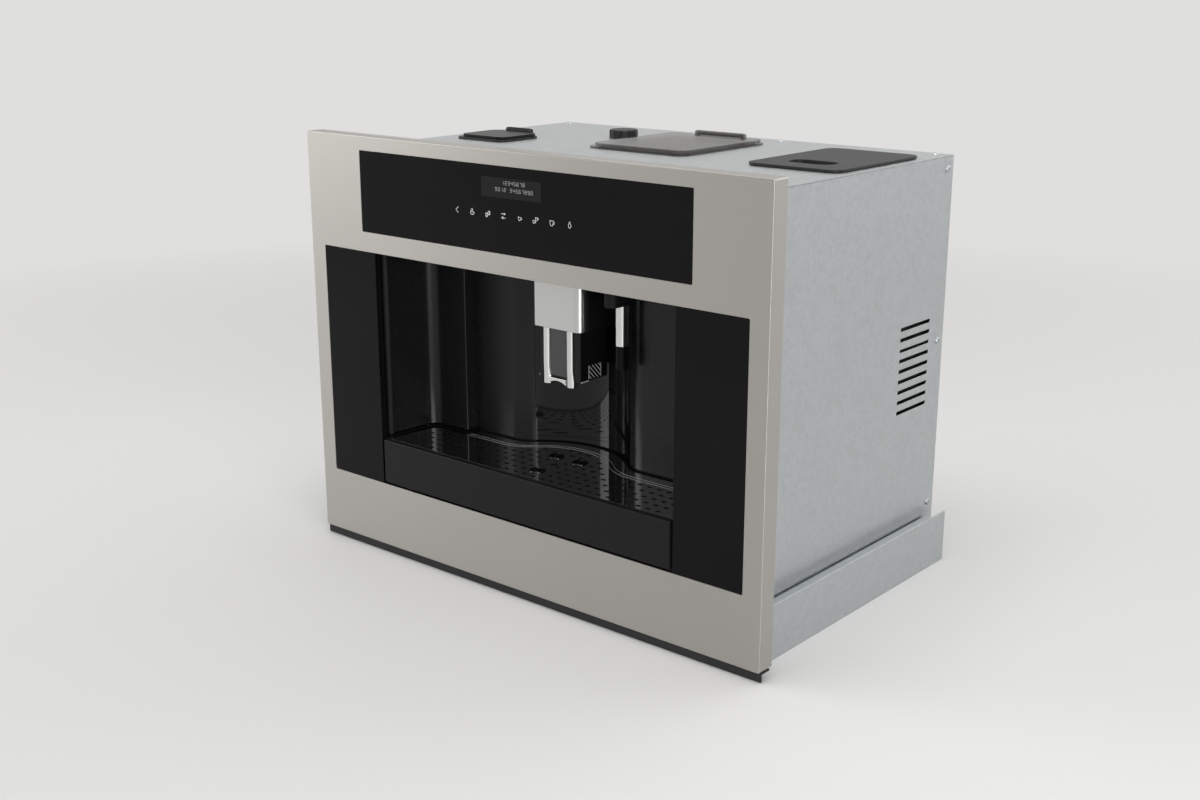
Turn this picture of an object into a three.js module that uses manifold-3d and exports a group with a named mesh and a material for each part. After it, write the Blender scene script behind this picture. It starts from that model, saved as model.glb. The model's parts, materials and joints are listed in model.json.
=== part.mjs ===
// Built-in coffee machine: a steel front with a glass panel and a recessed dispensing bay, and
// behind it a casing on runners, which pulls out of its niche to be filled.
//
// Millimetres. X runs to the right, Y from the front into the niche, Z up. The pieces are drawn
// with Y = 0 on the steel face and Z = 0 on the niche floor, and the outermost group then puts
// the origin in the middle of the footprint.

import * as THREE from 'three';
import { mergeVertices } from 'three/addons/utils/BufferGeometryUtils.js';
import Module from 'manifold-3d';

const wasm = await Module();
wasm.setup();

// ---------------------------------------------------------------- driving dimensions

// Clearances
const seat = 0.3;             // between two pieces that touch
const swing = 1.8;            // round the tray, the grid and the door
const slip = 0.5;             // between the members of a runner, and between telescoping pieces
const overlap = 1;            // how far a cutting or joining body reaches past a face

// Steel face
const faceWidth = 595;        // a 60 cm appliance front
const faceHeight = 444.5;
const faceSheet = 1.5;
const faceFold = 20;          // depth of the folded edge
const faceCorner = 2;
const faceEdge = 0.9;         // softened front edge
const floorGap = 0.8;         // under the front, so that it clears the niche floor
const trimHeight = 9.4;       // black strip under the face
const trimRecess = 3;
const trimDepth = 14;
const trimWall = 2;

// Glass
const glass = 4;
const glassInset = 0.2;       // behind the steel face
const glassCorner = 1.2;
const panelWidth = 430;
const panelHeight = 84;
const panelMargin = 15;       // steel above the panel
const bandHeight = 21.5;      // steel between the panel and the lower opening
const openingSide = 21;       // steel on either side of the opening
const openingMargin = 71.2;   // steel below the opening
const sideGlassWidth = 79;

// Carrier behind the front
const carrierPlate = 4.4;
const carrierReveal = 1.5;    // the carrier's bay opening, past the glass on each side
const carrierCollar = 3;      // wall of the collar that meets the casing
const carrierEdge = 0.4;      // round the carrier, inside the folded edge
const boardWidth = 210;       // touch board
const boardHeight = 58;
const boardThickness = 1.6;
const boardPocket = 12;
const displayWidth = 92;
const displayHeight = 28;
const displayDepth = 6;

// Dispensing bay, in plan
const wall = 2.5;             // wall of every moulding
const draft = 0.09;           // side walls close in by this much per mm of depth
const bayCorner = 14;
const cupArcRadius = 94;      // hollow behind the cups
const cupHalfWidth = 65;
const cupDepth = 127;         // steel face to the back of the hollow
const bendRadius = 36;        // bulge on either side of the hollow
const ceilingGap = 4;         // ceiling above the opening's upper edge
const arcStep = 9;            // degrees, on the bay's large curves
const cornerStep = 30;        // degrees, on small corners
const cornerLimit = 20;       // radius below which a curve counts as a small corner
const tubeStep = 18;          // degrees, round a tube
const bulkheadY = 138;

// Drip tray and grid
const trayFrontHeight = 47.5;
const trayFrontGap = 3.3;     // under the tray front
const trayFrontThickness = 5;
const trayProud = 2;
const trayWall = 2.2;
const trayRim = 3;            // ledge that the grid lies on
const gridThickness = 2.5;
const ridgeInset = 12;        // raised lines along the grid's back edge
const ridgePitch = 3.4;
const ridgeWidth = 1.1;
const ridgeHeight = 0.6;
const holePitch = 12.2;
const holeWidth = 5;
const holeDepth = 3.2;
const holeMargin = 7;
const drainRadius = 7;
const drains = [[3.5, 28.5], [-12, 75], [20.5, 74.5]];
const floatX = 3.5;
const floatY = 54;
const floatRadius = 3.4;
const floatTravel = 10;
const floatDrop = 7;          // float's top under the grid's face, at rest

// Service door on the left of the bay
const doorFaceY = 75;
const doorWidth = 55.5;
const doorGap = 2.5;          // finger gap beside the door's free edge
const pinRadius = 2;
const pinOutset = 1.2;        // pin axis, outside the bay's front corner
const pinBack = 5.4;          // pin axis, behind the walls' front edge
const barrelRadius = 4;

// Spout
const spoutHalf = 33.3;
const spoutFrontY = 60.5;
const spoutShell = 1.2;
const spoutCornerRadius = 6.5;
const shellReturn = 12;
const shellHeight = 61.8;     // part of the shell below the opening's upper edge
const headRise = 100;         // inside height of the head
const headWall = 5.6;
const carriageHalf = 28;
const carriageFrontY = 69;
const carriageDepth = 41.5;
const carriageHeight = 102;
const carriageDrop = 52.7;    // carriage below the shell at rest
const gripSetback = 13;       // ribbed grip on the carriage's sides, behind its front
const gripLength = 19;
const gripHeight = 14;
const gripRise = 1.6;         // grip above the carriage's lower edge
const gripDepth = 1;
const gripPitch = 3.8;
const gripRib = 1.3;
const tubeSpacing = 31.6;
const tubeRadius = 4.8;
const tubeBore = 3;
const tubeSetback = 2;        // tube axis in front of the carriage face
const tubeDrop = 6.7;         // tubes below the carriage
const footRadius = 5.7;       // the tubes swell at the foot, towards the back
const footShift = 1.5;
const footHeight = 6;
const footTaper = 14;
const bridgeHeight = 6;       // at the feet
const bridgeThickness = 2.8;  // in the middle of the arch
const bridgeRise = 1;         // bridge's upper face above the carriage's lower edge

// Hot-water wand
const wandX = 72.7;
const wandY = 78;
const wandRadius = 6.8;
const wandBore = 2.6;
const wandSleeve = 41.3;
const wandTip = 23.1;
const tipChamfer = 1;
const armRadius = 8;
const armReach = 15;          // swivel axis in front of the wand's axis
const armDrop = 29;           // arm's underside, below the opening's upper edge
const armHeight = 16;
const swivelNeck = 3.6;
const swivelNeckLength = 8;
const swivelHead = 5;         // radius of the pin's head, which holds the arm up
const swivelHeadHeight = 2;

// Casing
const sheet = 1.2;
const casingSide = 35.5;      // face past the casing on either side
const casingFrontY = 22;
const casingBackY = 380;
const casingBottom = 14;
const casingDrop = 17;        // casing's top below the face's upper edge
const panSheet = 1.5;
const panLip = 40;
const louvreCount = 9;
const louvreLength = 60;
const louvreWidth = 4;
const louvrePitch = 11;
const louvreInset = 60;       // middle of the side louvres, in front of the casing's back
const louvreRise = 120;       // middle of the rear louvres, above the casing's middle
const tankRoom = 188;         // deck below the casing's top

// Runners and the base that is screwed to the niche floor
const runnerLength = 340;
const runnerHeight = 35;
const runnerDepth = 11.5;
const runnerSheet = 1.5;
const runnerBottom = 17;
const baseSheet = 2;
const baseHeight = 56;
const baseSlack = 0.6;
const baseStrip = 60;         // width of the front and rear strips
const basePlateWidth = 46;    // width of the side strips

// Service bay behind the door
const serviceDepth = 270;     // steel face to the back of the bay
const serviceSide = 4;        // between the bay and the outside of the casing
const groundsCorner = 12;
const groundsHeadroom = 12;   // between the container and the brew unit
const groundsScoop = 14.3;    // scoop in the container's front, below its rim
const brewWidth = 80;
const brewFrontY = 112;
const brewDepth = 140;
const brewHeight = 162;
const brewHeadroom = 4.5;
const brewArm = 12;
const brewColumn = 36;        // depth of the frame's column
const chamberRadius = 29;
const chamberBore = 25.4;
const chamberHeight = 60;
const pistonThickness = 12;
const pistonLift = 11;        // above the chamber, at rest
const stemRadius = 7;

// Bean hopper, grinder and the lids on top
const hopperX = 0;
const hopperY = 258;
const hopperWidth = 120;
const hopperDepth = 140;
const hopperOutlet = 46;
const hopperWall = 2.2;
const hopperStraight = 24;
const flangeWidth = 5;
const flangeThickness = 2;
const lidThickness = 2.6;
const lidEdge = 3;            // flange that shows round a lid
const hingePin = 1.5;
const hingeBarrel = 3.2;
const hingeEar = 3;
const grinderRadius = 46;
const grinderCollar = 30;
const grinderMotor = 42;      // height of the motor housing
const grinderShoulder = 50;   // height at which the burr housing starts
const grinderThroat = 63;     // height of the burrs
const grinderHeight = 84;
const knobX = -96;
const knobY = 285;
const knobRadius = 16;
const knobHeight = 9;
const knobShaft = 4;
const knobShaftLength = 15;
const knobChamfer = 1;
const knobFlutes = 12;
const knobFluteRadius = 1.2;
const knobFluteStart = 2;     // height at which the flutes start
const funnelInset = 58;       // middle of the funnel, from the service bay's left side
const funnelY = 190;
const funnelWidth = 62;
const funnelDepth = 54;
const funnelOutlet = 34;
const funnelStraight = 9;
const funnelHeight = 33;      // casing's top above the service bay

// Water tank
const tankInset = 62;         // middle of the tank, from the casing's right side
const tankY = 250;
const tankWidth = 100;
const tankDepth = 152;
const tankCorner = 10;
const tankWall = 2.2;
const tankTaper = 3;
const tankSeatHeight = 11;
const tankSeatRim = 6;
const valveRadius = 9;

// Works on the floor of the casing
const pumpX = -20;
const pumpY = 290;
const pumpAxisHeight = 62;
const pumpSteps = [[6, 14], [17, 12], [24, 46], [12, 12], [6, 8]]; // radius, length, from the front
const pumpSaddleWidth = 38;
const pumpSaddleDepth = 36;
const pumpSaddleHeight = 46;
const boilerX = 110;
const boilerY = 290;
const boilerWidth = 96;
const boilerDepth = 84;
const boilerHeight = 118;
const boilerGrooves = 5;
const boilerGrooveWidth = 5;
const boilerGrooveDepth = 7.5;
const boilerFootHeight = 15;
const boilerFootWidth = 5;
const boilerFootSpacing = 67;
const boilerStubRadius = 8;
const boilerStubRise = 10;
const mainsBoardWidth = 120;
const mainsBoardHeight = 90;
const mainsBoardInset = 112;  // middle of the board, from the casing's left side
const mainsBoardY = 330;
const mainsPillarHeight = 10;
const mainsPillarRadius = 2.5;
const mainsPillarInset = 6;
const mainsBlocks = [         // x, y, width, depth, height: transformer, relay, connectors
  [-30, 4, 38, 44, 34],
  [21, -18, 20, 26, 16],
  [21, 22, 34, 12, 11],
];

// Mains inlet and switch, low on the rear panel
const inletInset = 72;        // middle of the inlet, from the casing's left side
const inletZ = 84;
const inletWidth = 72;
const inletHeight = 32;
const inletFlange = 2.6;
const inletDepth = 26;
const socketWidth = 24.6;
const socketHeight = 17.6;
const socketDepth = 15;
const socketOffset = 14;
const contacts = [[-7, -2], [0, 2], [7, -2]];
const contactWidth = 2;
const contactHeight = 4;
const contactSetback = 3;     // contact ends, inside the socket's mouth
const rockerWidth = 12;
const rockerHeight = 20;
const rockerOffset = 22;
const rockerPocket = 12;
const rockerTilt = 9;         // degrees either side of level

// ---------------------------------------------------------------- heights and places

const faceBottom = floorGap + trimHeight + seat;
const faceTop = faceBottom + faceHeight;
const panelTop = faceTop - panelMargin;
const panelBottom = panelTop - panelHeight;
const panelMiddle = (panelTop + panelBottom) / 2;
const openingBottom = faceBottom + openingMargin;
const openingTop = panelBottom - bandHeight;
const openingHeight = openingTop - openingBottom;
const openingWidth = faceWidth - 2 * openingSide;
const bayHalf = openingWidth / 2 - sideGlassWidth;
const doorEdgeX = bayHalf - doorWidth;
const glassBack = glassInset + glass;
const carrierFront = glassBack + seat;
const carrierBack = carrierFront + carrierPlate;
const wallFront = carrierBack + seat;
const trayFloor = openingBottom - wall;
const trayFrontBottom = openingBottom + trayFrontGap;
const gridTop = trayFrontBottom + trayFrontHeight;
const sillTop = gridTop + swing / 2;
const doorBottom = sillTop + swing;
const ceiling = openingTop + ceilingGap;
const doorTop = openingTop - swing;
const casingHalf = faceWidth / 2 - casingSide;
const casingTop = faceTop - casingDrop;
const casingMiddleZ = (casingTop + casingBottom) / 2;
const coverSeat = casingTop - sheet;
const deckHeight = casingTop - tankRoom;
const serviceHalf = casingHalf - serviceSide;
const serviceTop = casingTop - funnelHeight;
const brewBottom = serviceTop - wall - brewHeadroom - brewHeight;
const groundsTop = brewBottom - groundsHeadroom;
const funnelX = -serviceHalf + funnelInset;
const tankX = casingHalf - tankInset;
const mainsBoardX = -casingHalf + mainsBoardInset;
const inletX = -casingHalf + inletInset;

// ---------------------------------------------------------------- materials

function material(color, roughness, metalness = 0) {
  return new THREE.MeshStandardMaterial({ color, roughness, metalness });
}

const brushedSteel = material(0xc4c0ba, 0.34, 1);
const chrome = material(0xd8d8d6, 0.14, 1);
const zincSheet = material(0xa7abac, 0.42, 1);
const castAluminium = material(0xb4b6b8, 0.5, 1);
const blackGlass = material(0x0b0b0c, 0.06);
const glossBlack = material(0x0e0e0f, 0.12);
const mattBlack = material(0x161617, 0.5);
const charcoal = material(0x242425, 0.4);
const greyPlastic = material(0x5a5c5e, 0.55);
const redPlastic = material(0xa32018, 0.45);
const circuitGreen = material(0x1d4a2c, 0.6);
const smokedClear = new THREE.MeshStandardMaterial(
  { color: 0x3a3836, roughness: 0.15, transparent: true, opacity: 0.55 });
const waterClear = new THREE.MeshStandardMaterial(
  { color: 0x8d979c, roughness: 0.12, transparent: true, opacity: 0.45 });

// ---------------------------------------------------------------- shaping tools

function solid(geometry) {
  const bare = geometry.clone();
  bare.deleteAttribute('normal');
  bare.deleteAttribute('uv');
  const merged = mergeVertices(bare, 1e-3);
  return new wasm.Manifold(new wasm.Mesh({
    numProp: 3,
    vertProperties: new Float32Array(merged.attributes.position.array),
    triVerts: new Uint32Array(merged.index.array),
  }));
}

function geometryOf(made) {
  const mesh = made.getMesh();
  const geometry = new THREE.BufferGeometry();
  geometry.setAttribute('position', new THREE.BufferAttribute(mesh.vertProperties, 3));
  geometry.setIndex(new THREE.BufferAttribute(mesh.triVerts, 1));
  const flat = geometry.toNonIndexed();
  flat.computeVertexNormals();
  return flat;
}

function join(first, ...others) {
  return others.reduce((whole, other) => whole.add(other), first);
}

function cut(first, ...others) {
  return others.reduce((whole, other) => whole.subtract(other), first);
}

function block(x0, x1, y0, y1, z0, z1) {
  const box = new THREE.BoxGeometry(x1 - x0, y1 - y0, z1 - z0);
  box.translate((x0 + x1) / 2, (y0 + y1) / 2, (z0 + z1) / 2);
  return solid(box);
}

// A plan outline, drawn in X and Y, raised from one height to another.
function upright(shape, z0, z1) {
  const raised = new THREE.ExtrudeGeometry(shape, { depth: z1 - z0, bevelEnabled: false });
  return solid(raised.translate(0, 0, z0));
}

// A front outline, drawn in X and Z, run from one depth to another, with its front edge softened.
function inward(shape, y0, y1, edge = 0) {
  const run = new THREE.ExtrudeGeometry(shape, {
    depth: y1 - y0 - edge,
    bevelEnabled: edge > 0,
    bevelThickness: edge,
    bevelSize: edge,
    bevelOffset: -edge,
    bevelSegments: 2,
  });
  run.rotateX(Math.PI / 2).translate(0, y1, 0);
  return edge > 0 ? solid(run).intersect(slab(y0, y1)) : solid(run);
}

// Everything between two depths.
function slab(y0, y1) {
  return block(-faceWidth, faceWidth, y0, y1, -faceWidth, faceWidth);
}

// A side outline, drawn in Y and Z, run across from one X to another.
function across(shape, x0, x1) {
  const run = new THREE.ExtrudeGeometry(shape, { depth: x1 - x0, bevelEnabled: false });
  run.applyMatrix4(new THREE.Matrix4().set(0, 0, 1, 0, 1, 0, 0, 0, 0, 1, 0, 0, 0, 0, 0, 1));
  return solid(run.translate(x0, 0, 0));
}

// A round piece about Z from pairs of radius and height, going up the outside.
function turned(pairs, segments = 20) {
  const profile = pairs.map(([radius, z]) => new THREE.Vector2(radius, z));
  return solid(new THREE.LatheGeometry(profile, segments).rotateX(Math.PI / 2));
}

function rod(x, y, radius, z0, z1, segments = 16) {
  const round = new THREE.CylinderGeometry(radius, radius, z1 - z0, segments);
  return solid(round.rotateX(Math.PI / 2).translate(x, y, (z0 + z1) / 2));
}

function rodAcross(y, z, radius, x0, x1, segments = 14) {
  const round = new THREE.CylinderGeometry(radius, radius, x1 - x0, segments);
  return solid(round.rotateZ(Math.PI / 2).translate((x0 + x1) / 2, y, z));
}

// Points of an arc, in degrees: coarse on a small corner, fine on a large curve.
function arc(x, y, radius, from, to, step = radius < cornerLimit ? cornerStep : arcStep) {
  const steps = Math.max(1, Math.ceil(Math.abs(to - from) / step - 1e-9));
  return Array.from({ length: steps + 1 }, (_, i) => {
    const angle = THREE.MathUtils.degToRad(from + (to - from) * i / steps);
    return new THREE.Vector2(x + radius * Math.cos(angle), y + radius * Math.sin(angle));
  });
}

// Outline of a rectangle with round corners about (x, y), anticlockwise.
function roundedPoints(x, y, width, depth, radius) {
  const a = width / 2 - radius;
  const b = depth / 2 - radius;
  return [
    ...arc(x + a, y + b, radius, 0, 90, cornerStep),
    ...arc(x - a, y + b, radius, 90, 180, cornerStep),
    ...arc(x - a, y - b, radius, 180, 270, cornerStep),
    ...arc(x + a, y - b, radius, 270, 360, cornerStep),
  ];
}

function rounded(x, y, width, depth, radius) {
  return new THREE.Shape(roundedPoints(x, y, width, depth, radius));
}

// A path moved sideways, to the right of its own direction.
function beside(path, distance) {
  return path.map((point, i) => {
    const before = path[Math.max(i - 1, 0)];
    const after = path[Math.min(i + 1, path.length - 1)];
    const into = point.clone().sub(before).normalize();
    const out = after.clone().sub(point).normalize();
    const first = i === 0 ? out : into;
    const last = i === path.length - 1 ? into : out;
    const side = new THREE.Vector2(first.y + last.y, -first.x - last.x);
    return point.clone().addScaledVector(side, distance / (1 + first.dot(last)));
  });
}

// A wall whose face runs along the path, or beside it, with its thickness to the left.
function ribbon(path, thickness, shift = 0) {
  return new THREE.Shape([
    ...beside(path, shift),
    ...beside(path, shift - thickness).reverse(),
  ]);
}

// A skin over rings of equally many points, each ring anticlockwise seen from above. Its ends
// are capped, or a ring-shaped skin is closed on itself.
function loft(rings, closed = false) {
  const count = rings[0].length;
  const positions = rings.flatMap((ring) => ring.flatMap((p) => [p.x, p.y, p.z]));
  const index = [];
  const bands = closed ? rings.length : rings.length - 1;
  for (let r = 0; r < bands; r += 1) {
    const low = r * count;
    const high = ((r + 1) % rings.length) * count;
    for (let i = 0; i < count; i += 1) {
      const next = (i + 1) % count;
      index.push(low + i, low + next, high + next);
      index.push(low + i, high + next, high + i);
    }
  }
  const end = (rings.length - 1) * count;
  for (let i = 1; !closed && i < count - 1; i += 1) {
    index.push(0, i + 1, i);
    index.push(end, end + i, end + i + 1);
  }
  const geometry = new THREE.BufferGeometry();
  geometry.setAttribute('position', new THREE.Float32BufferAttribute(positions, 3));
  geometry.setIndex(index);
  return solid(geometry);
}

function ring(x, y, z, width, depth, radius) {
  return roundedPoints(x, y, width, depth, radius).map((p) => new THREE.Vector3(p.x, p.y, z));
}

function group(parent, x = 0, y = 0, z = 0) {
  const made = new THREE.Group();
  made.position.set(x, y, z);
  parent.add(made);
  return made;
}

function part(parent, name, look, made) {
  const mesh = new THREE.Mesh(geometryOf(made), look);
  mesh.name = name;
  parent.add(mesh);
  return mesh;
}

// ---------------------------------------------------------------- the bay's plan

const arcCentreY = cupDepth - cupArcRadius;
const bendAngle = Math.asin(cupHalfWidth / cupArcRadius);
const bendDegrees = THREE.MathUtils.radToDeg(bendAngle);
const wallY = arcCentreY + (cupArcRadius + bendRadius) * Math.cos(bendAngle) - bendRadius;
const bendX = (cupArcRadius + bendRadius) * Math.sin(bendAngle);
const draftDegrees = THREE.MathUtils.radToDeg(Math.atan(draft));

// Back of the spout's head, short of the hollow's panel.
const spoutBackY = arcCentreY + Math.sqrt(cupArcRadius ** 2 - spoutHalf ** 2) - 2 * swing;

// Half width of the bay at a depth.
function bayHalfAt(y) {
  return bayHalf - draft * (y - wallFront);
}

// From the left front corner of the bay round to the face of the service door.
function leftCorner(faceY) {
  const y = faceY - bayCorner;
  const x = -bayHalfAt(y) + bayCorner;
  return [
    new THREE.Vector2(-bayHalf, wallFront),
    ...arc(x, y, bayCorner, 180 - draftDegrees, 90),
  ];
}

const doorPath = [
  ...leftCorner(doorFaceY),
  new THREE.Vector2(-doorEdgeX, doorFaceY),
  new THREE.Vector2(-doorEdgeX, wallY - seat),
];
const leftBend = arc(-bendX, wallY + bendRadius, bendRadius, -90, -90 + bendDegrees);
const cupHollow = arc(0, arcCentreY, cupArcRadius, 90 + bendDegrees, 90 - bendDegrees);
const rightBend = arc(bendX, wallY + bendRadius, bendRadius, -90 - bendDegrees, -90);
const rightCorner = leftCorner(wallY).reverse().map((p) => new THREE.Vector2(-p.x, p.y));
const backWall = [...leftBend, ...cupHollow.slice(1, -1), ...rightBend];
const wholePath = [
  ...leftCorner(doorFaceY),
  new THREE.Vector2(-doorEdgeX, doorFaceY),
  new THREE.Vector2(-doorEdgeX, wallY),
  ...backWall,
  ...rightCorner,
];

// The area inside the bay's walls, less a margin, from a front line back.
function baySpace(margin, frontY) {
  const edge = beside(wholePath, margin);
  const left = edge[0].clone().setY(frontY);
  const right = edge[edge.length - 1].clone().setY(frontY);
  return new THREE.Shape([left, ...edge.slice(1, -1), right]);
}

// ---------------------------------------------------------------- front

function buildFront(parent) {
  const front = group(parent);
  const openingMiddle = (openingBottom + openingTop) / 2;
  const faceMiddle = (faceBottom + faceTop) / 2;

  const outer = inward(rounded(0, faceMiddle, faceWidth, faceHeight, faceCorner),
    0, faceFold, faceEdge);
  const inner = inward(rounded(0, faceMiddle, faceWidth - 2 * faceSheet,
    faceHeight - 2 * faceSheet, faceCorner / 2), faceSheet, faceFold + overlap);
  const panelHole = inward(rounded(0, panelMiddle, panelWidth + 2 * seat,
    panelHeight + 2 * seat, glassCorner), -overlap, faceSheet + overlap);
  const bayHole = inward(rounded(0, openingMiddle, openingWidth + 2 * seat,
    openingHeight + 2 * seat, glassCorner), -overlap, faceSheet + overlap);
  part(front, 'front_frame', brushedSteel, cut(outer, inner, panelHole, bayHole));

  part(front, 'control_glass', blackGlass, inward(
    rounded(0, panelMiddle, panelWidth, panelHeight, glassCorner),
    glassInset, glassBack, glassInset));
  const sideMiddle = bayHalf + sideGlassWidth / 2;
  for (const [name, side] of [['left', -1], ['right', 1]]) {
    part(front, `side_glass_${name}`, blackGlass, inward(
      rounded(side * sideMiddle, openingMiddle, sideGlassWidth, openingHeight, glassCorner),
      glassInset, glassBack, glassInset));
  }

  // Strip under the face: a lip that hooks up behind the fold, and a front that hangs down.
  const trimTop = floorGap + trimHeight;
  const strip = new THREE.Shape([
    new THREE.Vector2(trimRecess, floorGap),
    new THREE.Vector2(trimRecess + trimWall, floorGap),
    new THREE.Vector2(trimRecess + trimWall, trimTop - trimWall),
    new THREE.Vector2(trimRecess + trimDepth, trimTop - trimWall),
    new THREE.Vector2(trimRecess + trimDepth, trimTop),
    new THREE.Vector2(trimRecess, trimTop),
  ]);
  part(front, 'lower_trim', mattBlack, across(strip, -faceWidth / 2, faceWidth / 2));

  buildCarrier(front, faceMiddle);
  buildBoards(front);
}

// The moulding that holds glass and steel together and ends in a collar against the casing.
function buildCarrier(parent, faceMiddle) {
  const width = faceWidth - 2 * (faceSheet + carrierEdge);
  const height = faceHeight - 2 * (faceSheet + carrierEdge);
  const plate = inward(rounded(0, faceMiddle, width, height, faceCorner), carrierFront, carrierBack);
  const collarOuter = block(-casingHalf, casingHalf, carrierFront, casingFrontY - seat,
    casingBottom, casingTop);
  const collarInner = block(-casingHalf + carrierCollar, casingHalf - carrierCollar, carrierBack,
    casingFrontY + overlap, casingBottom + carrierCollar, casingTop - carrierCollar);
  const collar = cut(collarOuter, collarInner);
  const bayHole = block(-bayHalf - carrierReveal, bayHalf + carrierReveal, 0, casingFrontY + overlap,
    openingBottom, ceiling - seat);
  const pocketHalf = boardWidth / 2 + seat;
  const pocketBase = panelMiddle - boardHeight / 2 - seat;
  const pocketTop = panelMiddle + boardHeight / 2 + seat;
  const backing = block(-pocketHalf - wall, pocketHalf + wall, carrierBack - overlap,
    carrierFront + boardPocket + wall, pocketBase - wall, pocketTop + wall);
  const pocket = block(-pocketHalf, pocketHalf, 0, carrierFront + boardPocket,
    pocketBase, pocketTop);
  part(parent, 'front_carrier', mattBlack, cut(join(plate, collar, backing), bayHole, pocket));
}

function buildBoards(parent) {
  const boardFront = carrierFront;
  const boardBack = boardFront + boardThickness;
  const half = boardWidth / 2;
  part(parent, 'touch_board', circuitGreen, block(-half, half, boardFront, boardBack,
    panelMiddle - boardHeight / 2, panelMiddle + boardHeight / 2));
  const displayTop = panelMiddle + boardHeight / 2;
  part(parent, 'display_module', greyPlastic, block(-displayWidth / 2, displayWidth / 2,
    boardBack + seat, boardBack + seat + displayDepth, displayTop - displayHeight, displayTop));
}

// ---------------------------------------------------------------- dispensing bay

function buildBay(parent) {
  const bay = group(parent);
  const roof = ceiling + wall;

  // Left of the hollow the wall starts beside the service door, right of it it runs to the front.
  const leftWall = [new THREE.Vector2(-doorEdgeX + doorGap, wallY), ...leftBend];
  const rightWall = [...rightBend, ...rightCorner];
  const headHalf = spoutHalf + seat;
  const roofRear = bulkheadY - seat;
  const liner = join(
    upright(ribbon(leftWall, wall), openingBottom + seat, roof),
    upright(ribbon(rightWall, wall), openingBottom + seat, roof),
    block(-doorEdgeX + doorGap, bayHalf, wallFront, roofRear, ceiling, roof),
    block(-bayHalf, -doorEdgeX + doorGap + overlap, wallFront, wallY - wall, ceiling, roof),
  );
  const spoutHole = block(-headHalf, headHalf, spoutFrontY - seat,
    spoutBackY + seat, ceiling - overlap, roof + overlap);
  part(bay, 'bay_liner', mattBlack, cut(liner, spoutHole));

  // The gloss panel fills the hollow, from bend to bend.
  const gap = THREE.MathUtils.radToDeg(seat / cupArcRadius);
  const panelPath = arc(0, arcCentreY, cupArcRadius, 90 + bendDegrees - gap, 90 - bendDegrees + gap);
  part(bay, 'cup_panel', glossBlack,
    upright(ribbon(panelPath, wall), openingBottom + seat, ceiling - seat));

  // Floor under the drip tray, with the sill that the service door closes over.
  const floorHalf = bayHalf + carrierReveal + wall;
  const sill = upright(ribbon(doorPath, wall), trayFloor, sillTop);
  const floorPlate = block(-floorHalf, floorHalf, wallFront, bulkheadY - seat,
    trayFloor, openingBottom);
  const pinBoss = rod(-bayHalf - pinOutset, wallFront + pinBack, barrelRadius,
    sillTop - 3 * wall, sillTop);
  const trayPath = upright(baySpace(swing / 2, -overlap), openingBottom, sillTop + overlap);
  part(bay, 'tray_bay', mattBlack, cut(join(floorPlate, sill, pinBoss), trayPath));
}

// ---------------------------------------------------------------- drip tray

function buildTray(parent) {
  const tray = group(parent);
  const frontBack = trayFrontThickness - trayProud;
  const frontHalf = bayHalf - swing - seat;
  const frontMiddle = (trayFrontBottom + gridTop) / 2;
  part(tray, 'tray_front', charcoal, inward(
    rounded(0, frontMiddle, 2 * frontHalf, trayFrontHeight, glassCorner),
    -trayProud, frontBack, faceEdge));

  const gridBottom = gridTop - gridThickness;
  const basinBottom = openingBottom + seat;
  const basinOuter = upright(baySpace(swing, frontBack + seat), basinBottom, gridTop - seat);
  const basinInner = upright(baySpace(swing + trayWall, frontBack + seat + trayWall),
    basinBottom + trayWall, gridTop);
  const ledge = upright(baySpace(swing + trayRim + trayWall, frontBack + seat + trayRim + trayWall),
    gridBottom - trayRim, gridTop);
  const body = cut(basinOuter, basinInner);
  const rim = cut(
    upright(baySpace(swing + trayWall / 2, frontBack + seat + trayWall / 2),
      gridBottom - trayRim, gridBottom - seat),
    ledge,
  );
  const floatPost = rod(floatX, floatY, floatRadius - slip, basinBottom + trayWall / 2,
    basinBottom + trayWall + floatTravel);
  part(tray, 'tray_basin', mattBlack, join(body, rim, floatPost));

  buildGrid(tray, gridBottom, frontBack + seat + trayWall + seat);
  buildFloat(tray, basinBottom + trayWall + seat, gridBottom - trayRim - floatTravel);
}

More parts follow.
